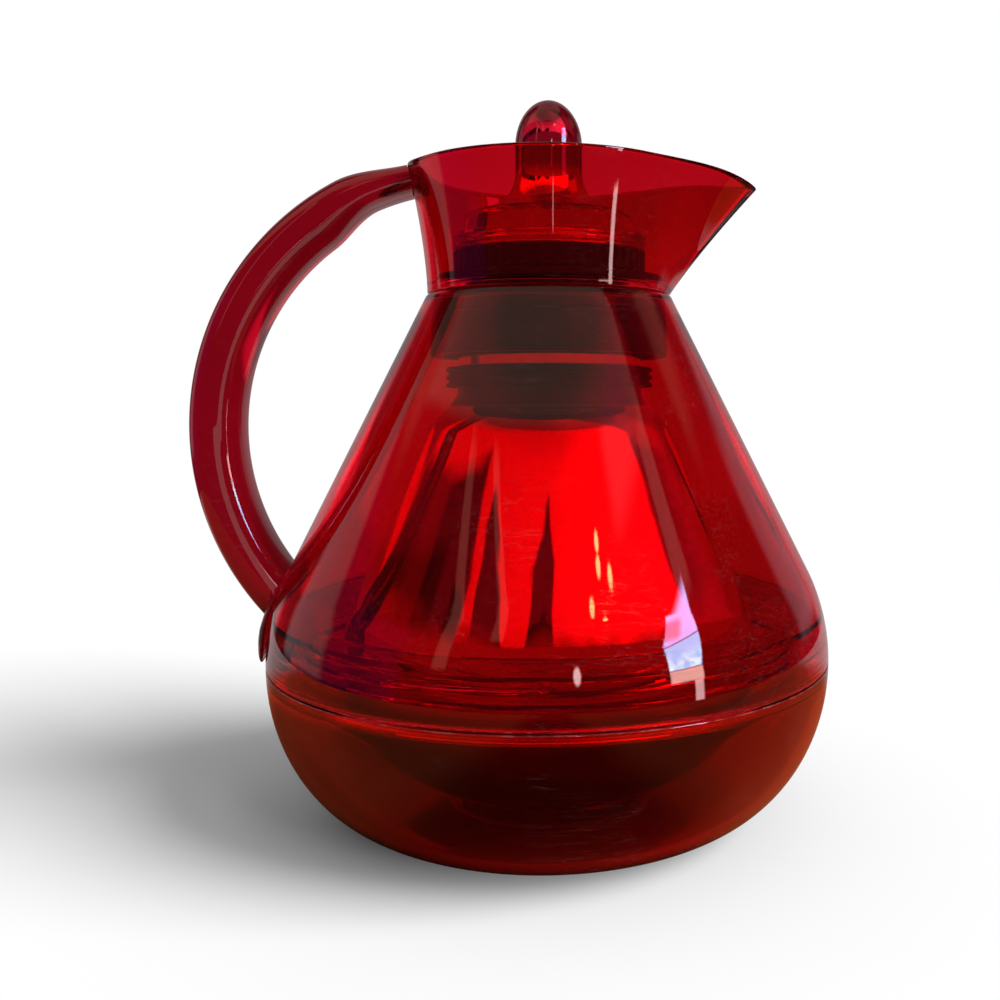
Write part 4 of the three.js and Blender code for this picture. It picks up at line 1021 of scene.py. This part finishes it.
# %% Window and small lamps
pane_left, pane_right = 46.0 + 0.55 * above(21.0), 60.0 + 0.25 * above(9.0)
panes = window(azimuth, pane_left, pane_right, 0.5) * window(elevation, 2.5, 34.0, 0.7)
bar_high = 10.2 + 0.21 * azimuth
upper, lower = elevation.step(bar_high - 0.3, bar_high + 0.3), elevation.step(8.6, 8.0)
rosy = window(azimuth, pane_left - 2.0, pane_left + 7.5, 2.0) * window(elevation, 23.0, 31.5, 2.0)
cloudy = clouds(sky, 14.0, 2.0, direction).step(0.35, 0.65) * elevation.step(20.0, 9.0)
glass_colour = cloudy.mix((8, 14, 25), (20, 24, 26))
glass_colour = upper.mix(glass_colour, rosy.mix((17, 12, 26), (22, 5, 10)))
glass_colour = lower.mix(glass_colour, (17, 9, 8))
high_bar = window(elevation, bar_high - 0.35, bar_high + 0.35, 0.2)
bars = sky.math("MAXIMUM", high_bar, window(elevation, 8.1, 8.7, 0.2))
gloss = (panes * (1 - 0.7 * bars)).mix(gloss, glass_colour)
window_foot = window(azimuth, 55.8, 59.4, 0.5) * window(elevation, -9.0, 2.8, 0.4)
gloss = window_foot.mix(gloss, (13, 8, 8))
gloss = spot(10.0, 11.5, 1.8, 6.0).mix(gloss, (18, 11, 11))
gloss = spot(3.4, -9.7, 0.8, 3.2).mix(gloss, (7, 3, 3))
small_lamps = [(25.8, 44.2), (25.3, 42.8), (30.8, 41.6), (20.0, 41.0), (25.5, 39.3)]
for at, up in small_lamps:
    gloss = spot(at, up, 1.5, 0.8).mix(gloss, (26, 16, 6))
print("window, two slim lights and", len(small_lamps), "lamps")

# %% Light for each kind of ray
light_path = sky.node("ShaderNodeLightPath", output="Is Camera Ray")
AMBIENT = (0.36, 0.36, 0.365)
ray_colour = light_path.other("Is Glossy Ray").mix(AMBIENT, gloss)
ray_colour = light_path.other("Is Transmission Ray").mix(ray_colour, inner_colour)
ray_colour = light_path.mix(ray_colour, (1, 1, 1))
backdrop = sky.node("ShaderNodeBackground", inputs={"Color": ray_colour, "Strength": 1.0})
sky.node("ShaderNodeOutputWorld", inputs={"Surface": backdrop})
print("the world has", len(world.node_tree.nodes), "nodes")

# %% Sun
SUN_HEIGHT, SUN_SIDE = math.radians(36), math.radians(22)
sun_light = bpy.data.lights.new("soft_sun", "SUN")
sun_light.energy, sun_light.angle = 4.0, math.radians(38)
sun = bpy.data.objects.new("soft_sun", sun_light)
scene.collection.objects.link(sun)
sun.rotation_euler = (0.0, math.pi / 2 - SUN_HEIGHT, -SUN_SIDE)
sun.visible_glossy = sun.visible_transmission = sun.visible_camera = False
print("sun", round(math.degrees(SUN_HEIGHT)), "degrees up")

# %% [markdown]
# ## Lamps for the handle
# The grip is bent so tightly that a lamp far away shows on it only as a hairline. Its broad highlight
# comes from a soft panel and a bright strip close in front. Light linking keeps both to the handle.

# %% Panel and strip
handle_only = bpy.data.collections.new("handle_only")
handle_only.objects.link(handle)
PANEL_PLACE, PANEL_AIM = Vector((-0.05, -0.24, 0.055)), Vector((-0.095, -0.01, 0.085))
PANEL_TALL = 0.1
for name, wide, watts in [("soft_panel", 0.16, 0.045), ("bright_strip", 0.03, 0.07)]:
    panel_light = bpy.data.lights.new(name, "AREA")
    panel_light.shape, panel_light.size, panel_light.size_y = "RECTANGLE", wide, PANEL_TALL
    panel_light.energy = watts
    panel = bpy.data.objects.new(name, panel_light)
    scene.collection.objects.link(panel)
    panel.location = PANEL_PLACE
    panel.rotation_euler = (PANEL_AIM - PANEL_PLACE).to_track_quat("-Z", "Y").to_euler()
    panel.visible_camera = panel.visible_diffuse = panel.visible_transmission = False
    panel.light_linking.receiver_collection = handle_only
    print(name, "with", watts, "watts")

# %% [markdown]
# ## Camera
# The camera stands close to the carafe, a little above the middle, as in the photograph. The picture
# is a part of a wider one, so its centre is off the lens's axis, and the shift says by how much.

# %% Camera and render paths
camera_data = bpy.data.cameras.new("camera")
camera_data.sensor_width, camera_data.lens = 36.0, 38.55
camera_data.shift_x, camera_data.shift_y = -0.1, -0.0343
camera_data.clip_start = 0.01
camera = bpy.data.objects.new("camera", camera_data)
scene.collection.objects.link(camera)
camera.location = (0.0, -0.3203, 0.1256)
camera.rotation_euler = (math.pi / 2 - 0.0724, 0.0, -0.0470)
scene.camera = camera
scene.view_settings.view_transform = "Standard"
cycles = scene.cycles
cycles.caustics_reflective = cycles.caustics_refractive = False
cycles.max_bounces, cycles.transmission_bounces, cycles.glossy_bounces = 30, 30, 24
print("camera at", tuple(round(value, 4) for value in camera.location))
